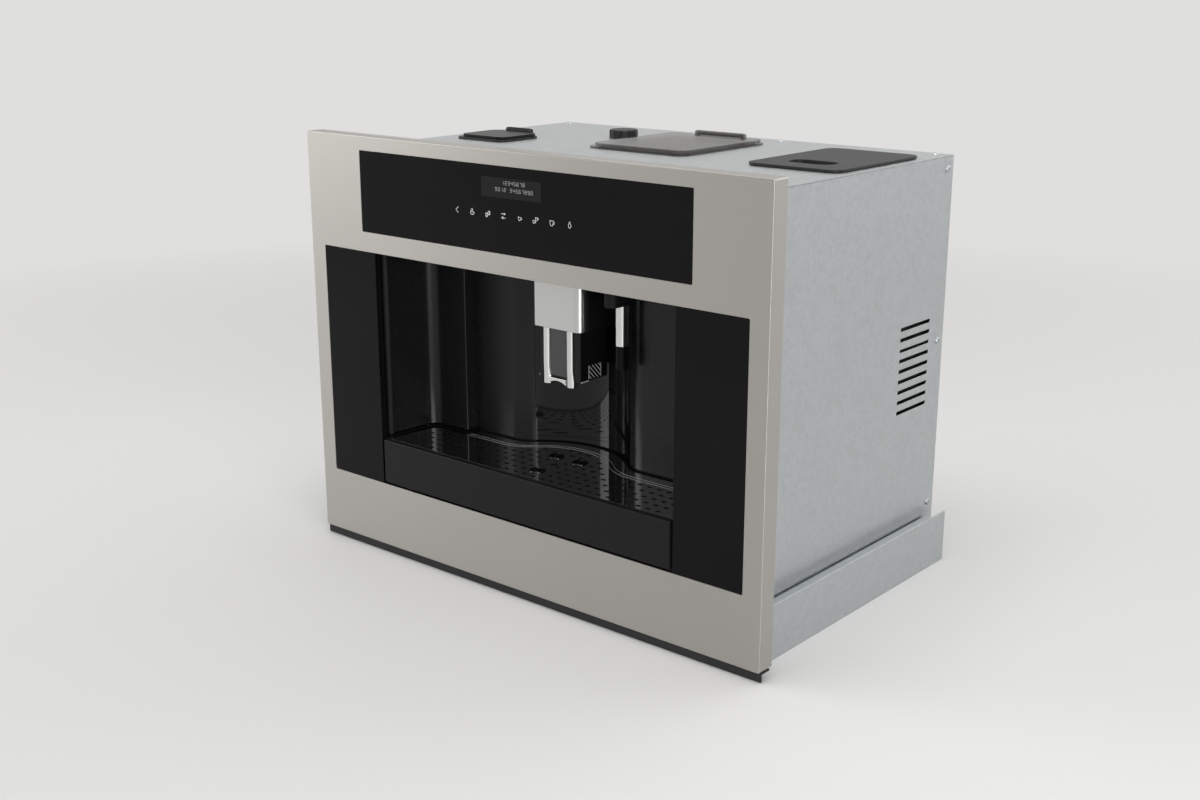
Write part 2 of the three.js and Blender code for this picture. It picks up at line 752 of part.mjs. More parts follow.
// Perforated grid: its back edge repeats the bay's wall, and two raised lines run along it.
function buildGrid(parent, gridBottom, gridFront) {
  const margin = swing + trayWall + seat;
  const sideX = bayHalfAt(wallY) - margin - slip;
  const stepX = -doorEdgeX + margin + slip;

  // The raised lines run from the door's step to the right-hand side, along the bay's wall.
  const wallLine = [new THREE.Vector2(stepX, wallY), ...backWall, new THREE.Vector2(sideX, wallY)];
  const lines = [0, 1].map((line) => beside(wallLine, margin + ridgeInset + line * ridgePitch));
  const ridges = lines.map((line) =>
    upright(ribbon(line, ridgeWidth), gridTop - seat, gridTop + ridgeHeight));

  // Drain holes and the float's hole first, then the field of slots around them.
  const field = [
    new THREE.Vector2(-sideX, gridFront),
    new THREE.Vector2(-sideX, doorFaceY - margin - trayRim),
    new THREE.Vector2(stepX, doorFaceY - margin - trayRim),
    ...lines[1],
    new THREE.Vector2(sideX, gridFront),
  ];
  const rounds = [...drains.map(([x, y]) => [x, y, drainRadius]), [floatX, floatY, floatRadius + slip]];
  const holes = rounds.map(([x, y, radius]) =>
    new THREE.Shape(arc(x, y, radius, 0, 360 - cornerStep)));
  const columns = Math.floor((sideX - holeMargin) / holePitch);
  const rows = Math.ceil(cupDepth / holePitch);
  for (let row = 0; row < rows; row += 1) {
    for (let column = -columns; column <= columns; column += 1) {
      const x = column * holePitch;
      const y = gridFront + holeMargin + row * holePitch;
      const blocked = rounds.some(([cx, cy, radius]) =>
        Math.hypot(x - cx, y - cy) < radius + holeWidth);
      if (!blocked && slotFits(x, y, field)) holes.push(slot(x, y));
    }
  }
  const plate = upright(baySpace(margin, gridFront), gridBottom, gridTop);
  const punches = upright(holes, gridBottom - overlap, gridTop + overlap);
  part(parent, 'drip_grid', glossBlack, cut(join(plate, ...ridges), punches));
}

function slot(x, y) {
  const corners = [[-1, -1], [1, -1], [1, 1], [-1, 1]];
  return new THREE.Shape(corners.map(([sx, sy]) =>
    new THREE.Vector2(x + sx * holeWidth / 2, y + sy * holeDepth / 2)));
}

// Whether a slot lies inside the field with all its corners.
function slotFits(x, y, field) {
  const reachX = holeWidth / 2 + ridgeWidth;
  const reachY = holeDepth / 2 + ridgeWidth;
  return [[-1, -1], [-1, 1], [1, 1], [1, -1]].every(([sx, sy]) =>
    inside(x + sx * reachX, y + sy * reachY, field));
}

function inside(x, y, field) {
  let within = false;
  field.forEach((a, i) => {
    const b = field[(i + 1) % field.length];
    const crosses = (a.y > y) !== (b.y > y);
    if (crosses && x < (b.x - a.x) * (y - a.y) / (b.y - a.y) + a.x) within = !within;
  });
  return within;
}

function buildFloat(parent, floatBottom, bodyTop) {
  const float = group(parent, floatX, floatY, 0);
  const skirt = floatRadius + 4 * slip;
  const stemTop = gridTop - floatDrop;
  part(float, 'tray_float', redPlastic, turned([
    [floatRadius - slip + seat, floatBottom],
    [skirt, floatBottom],
    [skirt, bodyTop],
    [floatRadius, bodyTop],
    [floatRadius, stemTop],
    [0, stemTop],
    [0, floatBottom + floatTravel + 2 * seat],
    [floatRadius - slip + seat, floatBottom + floatTravel + 2 * seat],
    [floatRadius - slip + seat, floatBottom],
  ], 16));
}

// ---------------------------------------------------------------- spout

function buildSpout(parent) {
  const spout = group(parent);
  const shellBottom = openingTop - shellHeight;
  const headBottom = shellBottom + seat;
  const headTop = headBottom + headRise;
  const returnY = spoutFrontY + shellReturn;

  // Front cover: a bent strip that is open at the back and at the bottom.
  const outline = [
    new THREE.Vector2(spoutHalf, returnY),
    ...arc(spoutHalf - spoutCornerRadius, spoutFrontY + spoutCornerRadius, spoutCornerRadius, 0, -90),
    ...arc(-spoutHalf + spoutCornerRadius, spoutFrontY + spoutCornerRadius, spoutCornerRadius,
      -90, -180),
    new THREE.Vector2(-spoutHalf, returnY),
  ];
  part(spout, 'spout_shell', chrome,
    upright(ribbon(outline, -spoutShell), shellBottom, ceiling - seat));

  // Head: hangs by its flange on the bay's ceiling, with a well for the carriage.
  const wellHalf = carriageHalf + slip;
  const headHalf = spoutHalf - spoutShell - seat;
  const wellFront = spoutFrontY + spoutShell + seat;
  const wellBack = carriageFrontY + carriageDepth + slip;
  const flange = block(-spoutHalf - 2 * headWall, spoutHalf + 2 * headWall,
    wellFront, bulkheadY - seat, ceiling + wall + seat, ceiling + wall + seat + wall);
  const head = join(
    upright(rounded(0, (wellFront + spoutBackY) / 2, 2 * headHalf, spoutBackY - wellFront,
      spoutCornerRadius - spoutShell), headBottom, headTop),
    block(-spoutHalf + seat, spoutHalf - seat, returnY + seat, spoutBackY, headBottom, headTop),
    flange,
  );
  const well = block(-wellHalf, wellHalf, wellFront - overlap, wellBack, headBottom - overlap,
    headTop - headWall);
  part(spout, 'spout_head', mattBlack, cut(head, well));

  buildCarriage(spout, shellBottom - carriageDrop);
}

// A tube's outside, straight down to a foot that swells towards the back.
function tubeSkin(x, y, grow = 0) {
  const footBottom = -tubeDrop - grow;
  const levels = [
    [footBottom, footRadius, footShift],
    [footHeight - tubeDrop, footRadius, footShift],
    [footHeight + footTaper - tubeDrop, tubeRadius, 0],
    [carriageHeight + grow, tubeRadius, 0],
  ];
  return loft(levels.map(([z, radius, shift]) =>
    arc(x, y + shift, radius + grow, 0, 360 - tubeStep, tubeStep)
      .map((p) => new THREE.Vector3(p.x, p.y, z))));
}

// Pocket in the carriage's side, less the slanting ribs that stand in it.
function gripPocket(side) {
  const y0 = carriageFrontY + gripSetback;
  const middleY = y0 + gripLength / 2;
  const middleZ = gripRise + gripHeight / 2;
  const reach = gripLength + gripHeight;
  const ribs = [];
  for (let offset = -reach / 2; offset <= reach / 2; offset += gripPitch) {
    const rib = new THREE.BoxGeometry(4 * gripDepth, reach, gripRib);
    rib.translate(0, 0, offset).rotateX(-Math.PI / 4);
    ribs.push(solid(rib.translate(side * (carriageHalf - 2 * gripDepth - seat), middleY, middleZ)));
  }
  const inner = side * (carriageHalf - gripDepth);
  const outer = side * (carriageHalf + overlap);
  const pocket = block(Math.min(inner, outer), Math.max(inner, outer), y0, y0 + gripLength,
    gripRise, gripRise + gripHeight);
  return cut(pocket, ...ribs);
}

function buildCarriage(parent, bottom) {
  const carriage = group(parent, 0, 0, bottom);
  const backY = carriageFrontY + carriageDepth;
  const tubeY = carriageFrontY - tubeSetback;
  const middleY = (carriageFrontY + backY) / 2;
  const radius = headWall;
  const body = upright(rounded(0, middleY, 2 * carriageHalf, carriageDepth, radius / 2),
    0, carriageHeight);
  const grooves = [-1, 1].map((side) => tubeSkin(side * tubeSpacing / 2, tubeY, seat));
  const underside = block(-carriageHalf + radius, carriageHalf - radius,
    carriageFrontY + footRadius + radius, backY - radius, -overlap, radius);
  part(carriage, 'spout_carriage', glossBlack,
    cut(body, ...grooves, underside, gripPocket(-1), gripPocket(1)));

  for (const [name, side] of [['left', -1], ['right', 1]]) {
    const tube = group(carriage, side * tubeSpacing / 2, tubeY, 0);
    const bore = rod(0, 0, tubeBore, -tubeDrop - overlap, carriageHeight + overlap);
    part(tube, `spout_tube_${name}`, chrome, cut(tubeSkin(0, 0), bore));
  }

  // Bridge between the tubes' feet, arched underneath.
  const reach = tubeSpacing / 2 - footRadius - seat;
  const legs = bridgeRise - bridgeHeight;
  const crown = 2 * (bridgeRise - bridgeThickness) - legs;
  const curve = new THREE.QuadraticBezierCurve(new THREE.Vector2(-reach, legs),
    new THREE.Vector2(0, crown), new THREE.Vector2(reach, legs)).getPoints(8);
  const arch = new THREE.Shape([
    ...curve,
    new THREE.Vector2(reach, bridgeRise),
    new THREE.Vector2(-reach, bridgeRise),
  ]);
  part(carriage, 'spout_bridge', chrome,
    inward(arch, tubeY - tubeRadius / 2, carriageFrontY - seat));
}

// ---------------------------------------------------------------- hot-water wand

// The wand hangs from an arm that swings out of the bay on a headed pin.
function buildWand(parent) {
  const wand = group(parent, wandX, wandY, openingTop - armDrop);
  const swivel = group(wand, 0, -armReach, 0);
  const socketBottom = armHeight + seat;
  const socketTop = ceiling - seat - (openingTop - armDrop);
  const neckTop = armHeight + swivelNeckLength;
  const headTop = neckTop + swivelHeadHeight;
  part(swivel, 'wand_socket', mattBlack, turned([
    [swivelNeck + slip, socketBottom],
    [armRadius, socketBottom],
    [armRadius, socketTop],
    [0, socketTop],
    [0, headTop + slip],
    [swivelHead + slip, headTop + slip],
    [swivelHead + slip, neckTop - seat],
    [swivelNeck + slip, neckTop - seat],
    [swivelNeck + slip, socketBottom],
  ]));

  const outline = rounded(0, armReach / 2, 2 * armRadius, armReach + 2 * armRadius, armRadius - seat);
  part(swivel, 'wand_arm', mattBlack, join(
    upright(outline, 0, armHeight),
    rod(0, 0, swivelNeck, armHeight - overlap, neckTop + overlap),
    rod(0, 0, swivelHead, neckTop, headTop),
  ));

  const sleeveTop = -seat;
  const sleeveEnd = sleeveTop - wandSleeve;
  part(wand, 'wand_sleeve', chrome, rod(0, 0, wandRadius, sleeveEnd, sleeveTop, 24));

  const tipTop = sleeveEnd - seat;
  const tipEnd = tipTop - wandTip;
  part(wand, 'wand_tip', mattBlack, turned([
    [wandBore, tipEnd],
    [wandRadius - tipChamfer, tipEnd],
    [wandRadius, tipEnd + tipChamfer],
    [wandRadius, tipTop],
    [0, tipTop],
    [0, tipTop - wandTip / 2],
    [wandBore, tipTop - wandTip / 2],
    [wandBore, tipEnd],
  ], 24));
}

// ---------------------------------------------------------------- service door

function buildDoor(parent) {
  const pinX = -bayHalf - pinOutset;
  const pinY = wallFront + pinBack;
  part(parent, 'door_pin', zincSheet, rod(pinX, pinY, pinRadius, sillTop + seat, ceiling - seat));

  const door = group(parent);
  const start = new THREE.Vector2(-bayHalfAt(pinY), pinY);
  const skin = upright(ribbon([start, ...doorPath.slice(1)], wall), doorBottom, doorTop);
  const barrel = rod(pinX, pinY, barrelRadius, doorBottom, doorTop);
  const bore = rod(pinX, pinY, pinRadius + seat, doorBottom - overlap, doorTop + overlap);
  // Ribs behind the face, at the ends and the middle.
  const ribShape = new THREE.Shape([
    new THREE.Vector2(start.x - wall / 2, pinY + barrelRadius),
    ...beside(doorPath.slice(1, -2), -wall / 2),
    new THREE.Vector2(-doorEdgeX - wall / 2, doorFaceY + wall / 2),
    new THREE.Vector2(-doorEdgeX - wall / 2, doorFaceY + 2 * wall),
    new THREE.Vector2(-doorEdgeX - 8 * wall, doorFaceY + 2 * wall),
    ...beside(doorPath.slice(1, -2), -2 * wall).reverse(),
    new THREE.Vector2(start.x - 2 * wall, pinY + barrelRadius),
  ]);
  const ribHeights = [doorBottom, (doorBottom + doorTop) / 2, doorTop - wall];
  const ribs = ribHeights.map((z) => upright(ribShape, z, z + wall));
  part(door, 'service_door', mattBlack, cut(join(skin, barrel, ...ribs), bore));
}

// ---------------------------------------------------------------- service bay and brew unit

function buildServiceBay(parent) {
  const service = group(parent);
  const right = -doorEdgeX + overlap;
  const bottom = doorBottom;
  const front = wallFront + overlap;
  const cavityLeft = -bayHalf - 3 * wall;
  const cavityBack = wallY + seat;
  const outer = block(-serviceHalf, right, front, serviceDepth, bottom, serviceTop);
  const inner = block(-serviceHalf + wall, right - wall, front - overlap, serviceDepth - wall,
    bottom + wall, serviceTop - wall);
  const corner = block(cavityLeft, right + overlap, front - overlap, cavityBack,
    bottom - overlap, serviceTop + overlap);
  const chute = block(funnelX - funnelOutlet / 2 - slip, funnelX + funnelOutlet / 2 + slip,
    funnelY - funnelOutlet / 2 - slip, funnelY + funnelOutlet / 2 + slip,
    serviceTop - 2 * wall, serviceTop + overlap);
  // Two ledges that the brew unit slides in on.
  const x0 = -serviceHalf + 2 * wall;
  const x1 = right - 2 * wall;
  const brewX = (x0 + x1) / 2;
  const ledgeReach = brewX - brewWidth / 2 + 2 * wall;
  const ledges = [
    [x0 - 2 * wall, ledgeReach],
    [2 * brewX - ledgeReach, x1 + 2 * wall],
  ].map(([low, high]) => block(low, high, brewFrontY, brewFrontY + brewDepth,
    brewBottom - seat - wall, brewBottom - seat));
  part(service, 'service_bay', greyPlastic, join(cut(outer, inner, corner, chute), ...ledges));

  // Grounds container: an open box with a scooped front edge.
  const y0 = cavityBack + wall;
  const y1 = serviceDepth - 2 * wall;
  const z0 = bottom + wall + seat;
  const shape = [(x0 + x1) / 2, (y0 + y1) / 2];
  const size = [x1 - x0, y1 - y0];
  const thin = 2 * trayWall;
  const vessel = loft([
    ring(...shape, z0, size[0] - thin, size[1] - thin, groundsCorner),
    ring(...shape, groundsTop, ...size, groundsCorner),
    ring(...shape, groundsTop, size[0] - thin, size[1] - thin, groundsCorner - trayWall),
    ring(...shape, z0 + trayWall, size[0] - 2 * thin, size[1] - 2 * thin, groundsCorner - trayWall),
  ]);
  const scoop = inward(rounded(shape[0], groundsTop, size[0] / 2, 2 * groundsScoop, groundsCorner),
    y0 - overlap, y0 + 3 * trayWall);
  part(service, 'grounds_container', charcoal, cut(vessel, scoop));

  buildBrewUnit(service, brewX);
}

function buildBrewUnit(parent, middleX) {
  const brew = group(parent, middleX, 0, brewBottom);
  const half = brewWidth / 2;
  const backY = brewFrontY + brewDepth;
  const axisY = brewFrontY + chamberRadius + brewArm;
  const armBottom = brewHeight - brewColumn;
  const armTop = armBottom + brewArm;
  const outline = new THREE.Shape([
    new THREE.Vector2(brewFrontY, 0),
    new THREE.Vector2(backY, 0),
    new THREE.Vector2(backY, brewHeight),
    new THREE.Vector2(backY - brewColumn, brewHeight),
    new THREE.Vector2(backY - brewColumn, armTop),
    new THREE.Vector2(brewFrontY + brewArm, armTop),
    new THREE.Vector2(brewFrontY + brewArm, armBottom),
    new THREE.Vector2(backY - brewColumn, armBottom),
    new THREE.Vector2(backY - brewColumn, brewArm),
    new THREE.Vector2(brewFrontY, brewArm),
  ]);
  const guide = rod(0, axisY, stemRadius + slip, armBottom - overlap, armTop + overlap);
  const recess = block(-half + wall, half - wall, backY - 2 * brewArm, backY + overlap,
    brewArm, brewHeight - brewArm);
  part(brew, 'brew_frame', charcoal, cut(across(outline, -half, half), guide, recess));

  const axis = group(brew, 0, axisY, brewArm + seat);
  part(axis, 'brew_chamber', greyPlastic, turned([
    [0, 0],
    [chamberRadius, 0],
    [chamberRadius, chamberHeight],
    [chamberBore, chamberHeight],
    [chamberBore, chamberRadius / 2],
    [0, chamberRadius / 2],
  ], 28));
  const pistonBottom = chamberHeight + pistonLift;
  part(axis, 'brew_piston', mattBlack, turned([
    [0, pistonBottom],
    [chamberBore - slip, pistonBottom],
    [chamberBore - slip, pistonBottom + pistonThickness],
    [stemRadius, pistonBottom + pistonThickness],
    [stemRadius, brewHeight - brewArm - seat],
    [0, brewHeight - brewArm - seat],
  ], 28));
}

// ---------------------------------------------------------------- casing

// A row of louvre slots in a sheet, as cutting bodies for a wall that faces along Y or X.
function louvres(place) {
  return Array.from({ length: louvreCount }, (_, i) => place(
    (i - (louvreCount - 1) / 2) * louvrePitch, louvreLength / 2, louvreWidth / 2));
}

function buildCasing(parent) {
  const casing = group(parent);
  const panTop = casingBottom + panLip;
  const coverBottom = panTop + seat;
  const coverTop = coverSeat - seat;
  const sideInner = casingHalf - sheet;
  const rearInner = casingBackY - sheet;

  const pan = cut(
    block(-casingHalf, casingHalf, casingFrontY, casingBackY, casingBottom, panTop),
    block(-casingHalf + panSheet, casingHalf - panSheet, casingFrontY + panSheet,
      casingBackY - panSheet, casingBottom + panSheet, panTop + overlap),
  );
  part(casing, 'base_pan', zincSheet, pan);

  const louvreY = casingBackY - louvreInset;
  for (const [name, side] of [['left', -1], ['right', 1]]) {
    const inner = side * sideInner;
    const outer = side * casingHalf;
    const low = Math.min(inner, outer);
    const high = Math.max(inner, outer);
    const slots = louvres((offset, half, width) => block(low - overlap, high + overlap,
      louvreY - half, louvreY + half, casingMiddleZ + offset - width, casingMiddleZ + offset + width));
    part(casing, `side_cover_${name}`, zincSheet, cut(
      block(low, high, casingFrontY, casingBackY, coverBottom, coverTop), ...slots));
  }

  const rearHalf = sideInner - seat;
  const inletHole = block(inletX - inletWidth / 2 + wall, inletX + inletWidth / 2 - wall,
    rearInner - overlap, casingBackY + overlap,
    inletZ - inletHeight / 2 + wall, inletZ + inletHeight / 2 - wall);
  const rearSlots = [-1, 1].flatMap((side) => louvres((offset, half, width) => {
    const x = side * casingHalf / 2;
    const z = casingMiddleZ + louvreRise;
    return block(x - half, x + half, rearInner - overlap, casingBackY + overlap,
      z + offset - width, z + offset + width);
  }));
  part(casing, 'rear_panel', zincSheet, cut(
    block(-rearHalf, rearHalf, rearInner, casingBackY, coverBottom, coverTop),
    inletHole, ...rearSlots));

  const hopperHole = upright(rounded(hopperX, hopperY, hopperWidth + 2 * seat,
    hopperDepth + 2 * seat, groundsCorner), coverSeat - overlap, casingTop + overlap);
  const tankHole = upright(rounded(tankX, tankY, tankWidth + 2 * slip, tankDepth + 2 * slip,
    tankCorner), coverSeat - overlap, casingTop + overlap);
  const funnelHole = upright(rounded(funnelX, funnelY, funnelWidth + 2 * seat,
    funnelDepth + 2 * seat, tankCorner), coverSeat - overlap, casingTop + overlap);
  const knobHole = rod(knobX, knobY, knobShaft + slip, coverSeat - overlap, casingTop + overlap);
  part(casing, 'top_cover', zincSheet, cut(
    block(-casingHalf, casingHalf, casingFrontY, casingBackY, coverSeat, casingTop),
    hopperHole, tankHole, funnelHole, knobHole));

  // Bulkhead behind the bay, with the deck that carries grinder, hopper and tank.
  const left = -doorEdgeX + overlap + seat;
  const right = sideInner - seat;
  const frameBack = rearInner - seat;
  part(casing, 'inner_frame', zincSheet, join(
    block(left, right, bulkheadY, bulkheadY + panSheet, casingBottom + panSheet + seat, coverTop),
    block(left, right, bulkheadY, frameBack, deckHeight - panSheet, deckHeight),
  ));
}

// ---------------------------------------------------------------- hinged lids

// Two ears and a pin, standing on a flange, for a lid that folds up to the back.
function hingeEars(x, y, z, length) {
  const half = length / 2;
  const ear = (x0, x1) => join(
    block(x0, x1, y - hingeBarrel + seat, y + hingeBarrel - seat, z - hingeBarrel - 2 * seat, z),
    rodAcross(y, z, hingeBarrel - seat, x0, x1),
  );
  return join(ear(x - half - hingeEar, x - half), ear(x + half, x + half + hingeEar),
    rodAcross(y, z, hingePin, x - half - overlap, x + half + overlap));
}

// The lid: a plate whose rear edge runs into the barrel.
function hingedLid(x, y, z, width, depth, corner, length) {
  const low = z - hingeBarrel;
  const plateBack = y - hingeBarrel - seat;
  const plate = upright(rounded(x, plateBack - depth / 2, width, depth, corner),
    low, low + lidThickness);
  const tongueHalf = length / 2 - seat;
  const tongue = block(x - tongueHalf, x + tongueHalf, plateBack - corner, y, low,
    low + lidThickness);
  const barrel = rodAcross(y, z, hingeBarrel, x - tongueHalf, x + tongueHalf);
  const bore = rodAcross(y, z, hingePin + seat, x - length, x + length);
  return cut(join(plate, tongue, barrel), bore);
}

function buildHopper(parent) {
  const flangeTop = casingTop + seat + flangeThickness;
  const outletZ = deckHeight + seat + grinderHeight + seat;
  const knee = casingTop - hopperStraight;
  const innerW = hopperWidth - 2 * hopperWall;
  const innerD = hopperDepth - 2 * hopperWall;
  const at = [hopperX, hopperY];
  const outletCorner = hopperOutlet / 2 - hopperWall - overlap;
  const vessel = loft([
    ring(...at, outletZ, hopperOutlet, hopperOutlet, outletCorner + hopperWall),
    ring(...at, knee, hopperWidth, hopperDepth, groundsCorner),
    ring(...at, flangeTop - flangeThickness, hopperWidth, hopperDepth, groundsCorner),
    ring(...at, flangeTop - flangeThickness, hopperWidth + 2 * flangeWidth,
      hopperDepth + 2 * flangeWidth, groundsCorner),
    ring(...at, flangeTop, hopperWidth + 2 * flangeWidth, hopperDepth + 2 * flangeWidth,
      groundsCorner),
    ring(...at, flangeTop, innerW, innerD, groundsCorner - hopperWall),
    ring(...at, knee + hopperWall, innerW, innerD, groundsCorner - hopperWall),
    ring(...at, outletZ, hopperOutlet - 2 * hopperWall, hopperOutlet - 2 * hopperWall, outletCorner),
  ], true);
  const hingeY = hopperY + hopperDepth / 2 + flangeWidth + hingeBarrel + seat;
  const hingeZ = flangeTop + seat + hingeBarrel;
  const hingeLength = hopperWidth / 2;
  const lug = block(hopperX - hingeLength / 2 - 2 * hingeEar, hopperX + hingeLength / 2 + 2 * hingeEar,
    hopperY + hopperDepth / 2 + overlap, hingeY + hingeBarrel,
    flangeTop - flangeThickness, flangeTop);
  part(parent, 'bean_hopper', smokedClear,
    join(vessel, lug, hingeEars(hopperX, hingeY, hingeZ, hingeLength)));
  part(parent, 'bean_lid', smokedClear, hingedLid(hopperX, hingeY, hingeZ,
    hopperWidth + 2 * (flangeWidth - lidEdge), hopperDepth + flangeWidth, groundsCorner, hingeLength));

  // Grinder under the hopper: motor, burr housing and a collar round the outlet.
  const grinder = group(parent, hopperX, hopperY, deckHeight + seat);
  part(grinder, 'grinder', charcoal, turned([
    [0, 0],
    [grinderRadius, 0],
    [grinderRadius, grinderMotor],
    [grinderCollar + hopperWall, grinderShoulder],
    [grinderCollar, grinderHeight],
    [hopperOutlet / 2 - hopperWall, grinderHeight],
    [hopperOutlet / 4, grinderThroat],
    [0, grinderThroat],
  ], 24));
}

function buildKnob(parent) {
  const knob = group(parent, knobX, knobY, casingTop + seat);
  const grip = turned([
    [0, 0],
    [knobRadius, 0],
    [knobRadius, knobHeight - knobChamfer],
    [knobRadius - knobChamfer, knobHeight],
    [0, knobHeight],
  ], 24);
  const flutes = Array.from({ length: knobFlutes }, (_, i) => {
    const angle = 2 * Math.PI * i / knobFlutes;
    return rod(knobRadius * Math.cos(angle), knobRadius * Math.sin(angle), knobFluteRadius,
      knobFluteStart, knobHeight + overlap, 6);
  });
  const shaft = rod(0, 0, knobShaft, -knobShaftLength, overlap);
  part(knob, 'grind_knob', mattBlack, cut(join(grip, shaft), ...flutes));
}

function buildFunnel(parent) {
  const flangeTop = casingTop + seat + flangeThickness;
  const knee = casingTop - funnelStraight;
  const outletZ = serviceTop + seat;
  const at = [funnelX, funnelY];
  const thin = 2 * hopperWall;
  const small = tankCorner - hopperWall;
  const vessel = loft([
    ring(...at, outletZ, funnelOutlet, funnelOutlet, tankCorner),
    ring(...at, knee, funnelWidth, funnelDepth, tankCorner),
    ring(...at, flangeTop - flangeThickness, funnelWidth, funnelDepth, tankCorner),
    ring(...at, flangeTop - flangeThickness, funnelWidth + 2 * flangeWidth,
      funnelDepth + 2 * flangeWidth, tankCorner),
    ring(...at, flangeTop, funnelWidth + 2 * flangeWidth, funnelDepth + 2 * flangeWidth, tankCorner),
    ring(...at, flangeTop, funnelWidth - thin, funnelDepth - thin, small),
    ring(...at, knee + hopperWall, funnelWidth - thin, funnelDepth - thin, small),
    ring(...at, outletZ, funnelOutlet - thin, funnelOutlet - thin, small),
  ], true);
  const hingeY = funnelY + funnelDepth / 2 + flangeWidth + hingeBarrel + seat;
  const hingeZ = flangeTop + seat + hingeBarrel;
  const hingeLength = funnelWidth / 2;
  const lug = block(funnelX - hingeLength / 2 - 2 * hingeEar, funnelX + hingeLength / 2 + 2 * hingeEar,
    funnelY + funnelDepth / 2 + overlap, hingeY + hingeBarrel,
    flangeTop - flangeThickness, flangeTop);
  part(parent, 'powder_funnel', mattBlack,
    join(vessel, lug, hingeEars(funnelX, hingeY, hingeZ, hingeLength)));
  part(parent, 'powder_lid', charcoal, hingedLid(funnelX, hingeY, hingeZ,
    funnelWidth + 2 * (flangeWidth - lidEdge), funnelDepth + flangeWidth, tankCorner, hingeLength));
}

// ---------------------------------------------------------------- water tank

function buildTank(parent) {
  const tank = group(parent, tankX, tankY, 0);
  const bottom = deckHeight + seat + tankSeatHeight + seat;
  const top = casingTop + seat;
  const small = tankCorner - tankWall;
  const thin = 2 * tankWall;
  const lowW = tankWidth - 2 * tankTaper;
  const lowD = tankDepth - 2 * tankTaper;
  const vessel = loft([
    ring(0, 0, bottom, lowW, lowD, tankCorner),
    ring(0, 0, top, tankWidth, tankDepth, tankCorner),
    ring(0, 0, top, tankWidth - thin, tankDepth - thin, small),
    ring(0, 0, bottom + tankWall, lowW - thin, lowD - thin, small),
  ]);
  const spigot = rod(0, 0, valveRadius, bottom - tankSeatHeight / 2, bottom + tankWall / 2);
  part(tank, 'water_tank', waterClear, join(vessel, spigot));

  // Lid with a dished grip.
  const lidBottom = top + seat;
  const plate = upright(rounded(0, 0, tankWidth + 2 * lidEdge, tankDepth + 2 * lidEdge,
    tankCorner + lidEdge), lidBottom, lidBottom + lidThickness);
  const plug = upright(rounded(0, 0, tankWidth - thin - 2 * slip, tankDepth - thin - 2 * slip,
    small - slip), lidBottom - 3 * tankWall, lidBottom + overlap);
  const dish = upright(rounded(0, -tankDepth / 4, tankWidth / 2, tankDepth / 6, tankCorner),
    lidBottom - tankWall, lidBottom + lidThickness + overlap);
  part(tank, 'tank_lid', mattBlack, cut(join(plate, plug), dish));

  // Seat on the deck: a rimmed plate with a well for the valve.
  const seatBottom = deckHeight + seat;
  const seatTop = seatBottom + tankSeatHeight;
  const rimW = tankWidth + 2 * slip;
  const rimD = tankDepth + 2 * slip;
  const dock = cut(
    upright(rounded(0, 0, rimW + 2 * wall, rimD + 2 * wall, tankCorner + wall),
      seatBottom, seatTop + tankSeatRim),
    upright(rounded(0, 0, rimW, rimD, tankCorner), seatTop, seatTop + tankSeatRim + overlap),
    rod(0, 0, valveRadius + slip, seatTop - tankSeatHeight / 2 - slip, seatTop + overlap),
  );
  part(tank, 'tank_seat', mattBlack, dock);
}

// ---------------------------------------------------------------- works on the floor

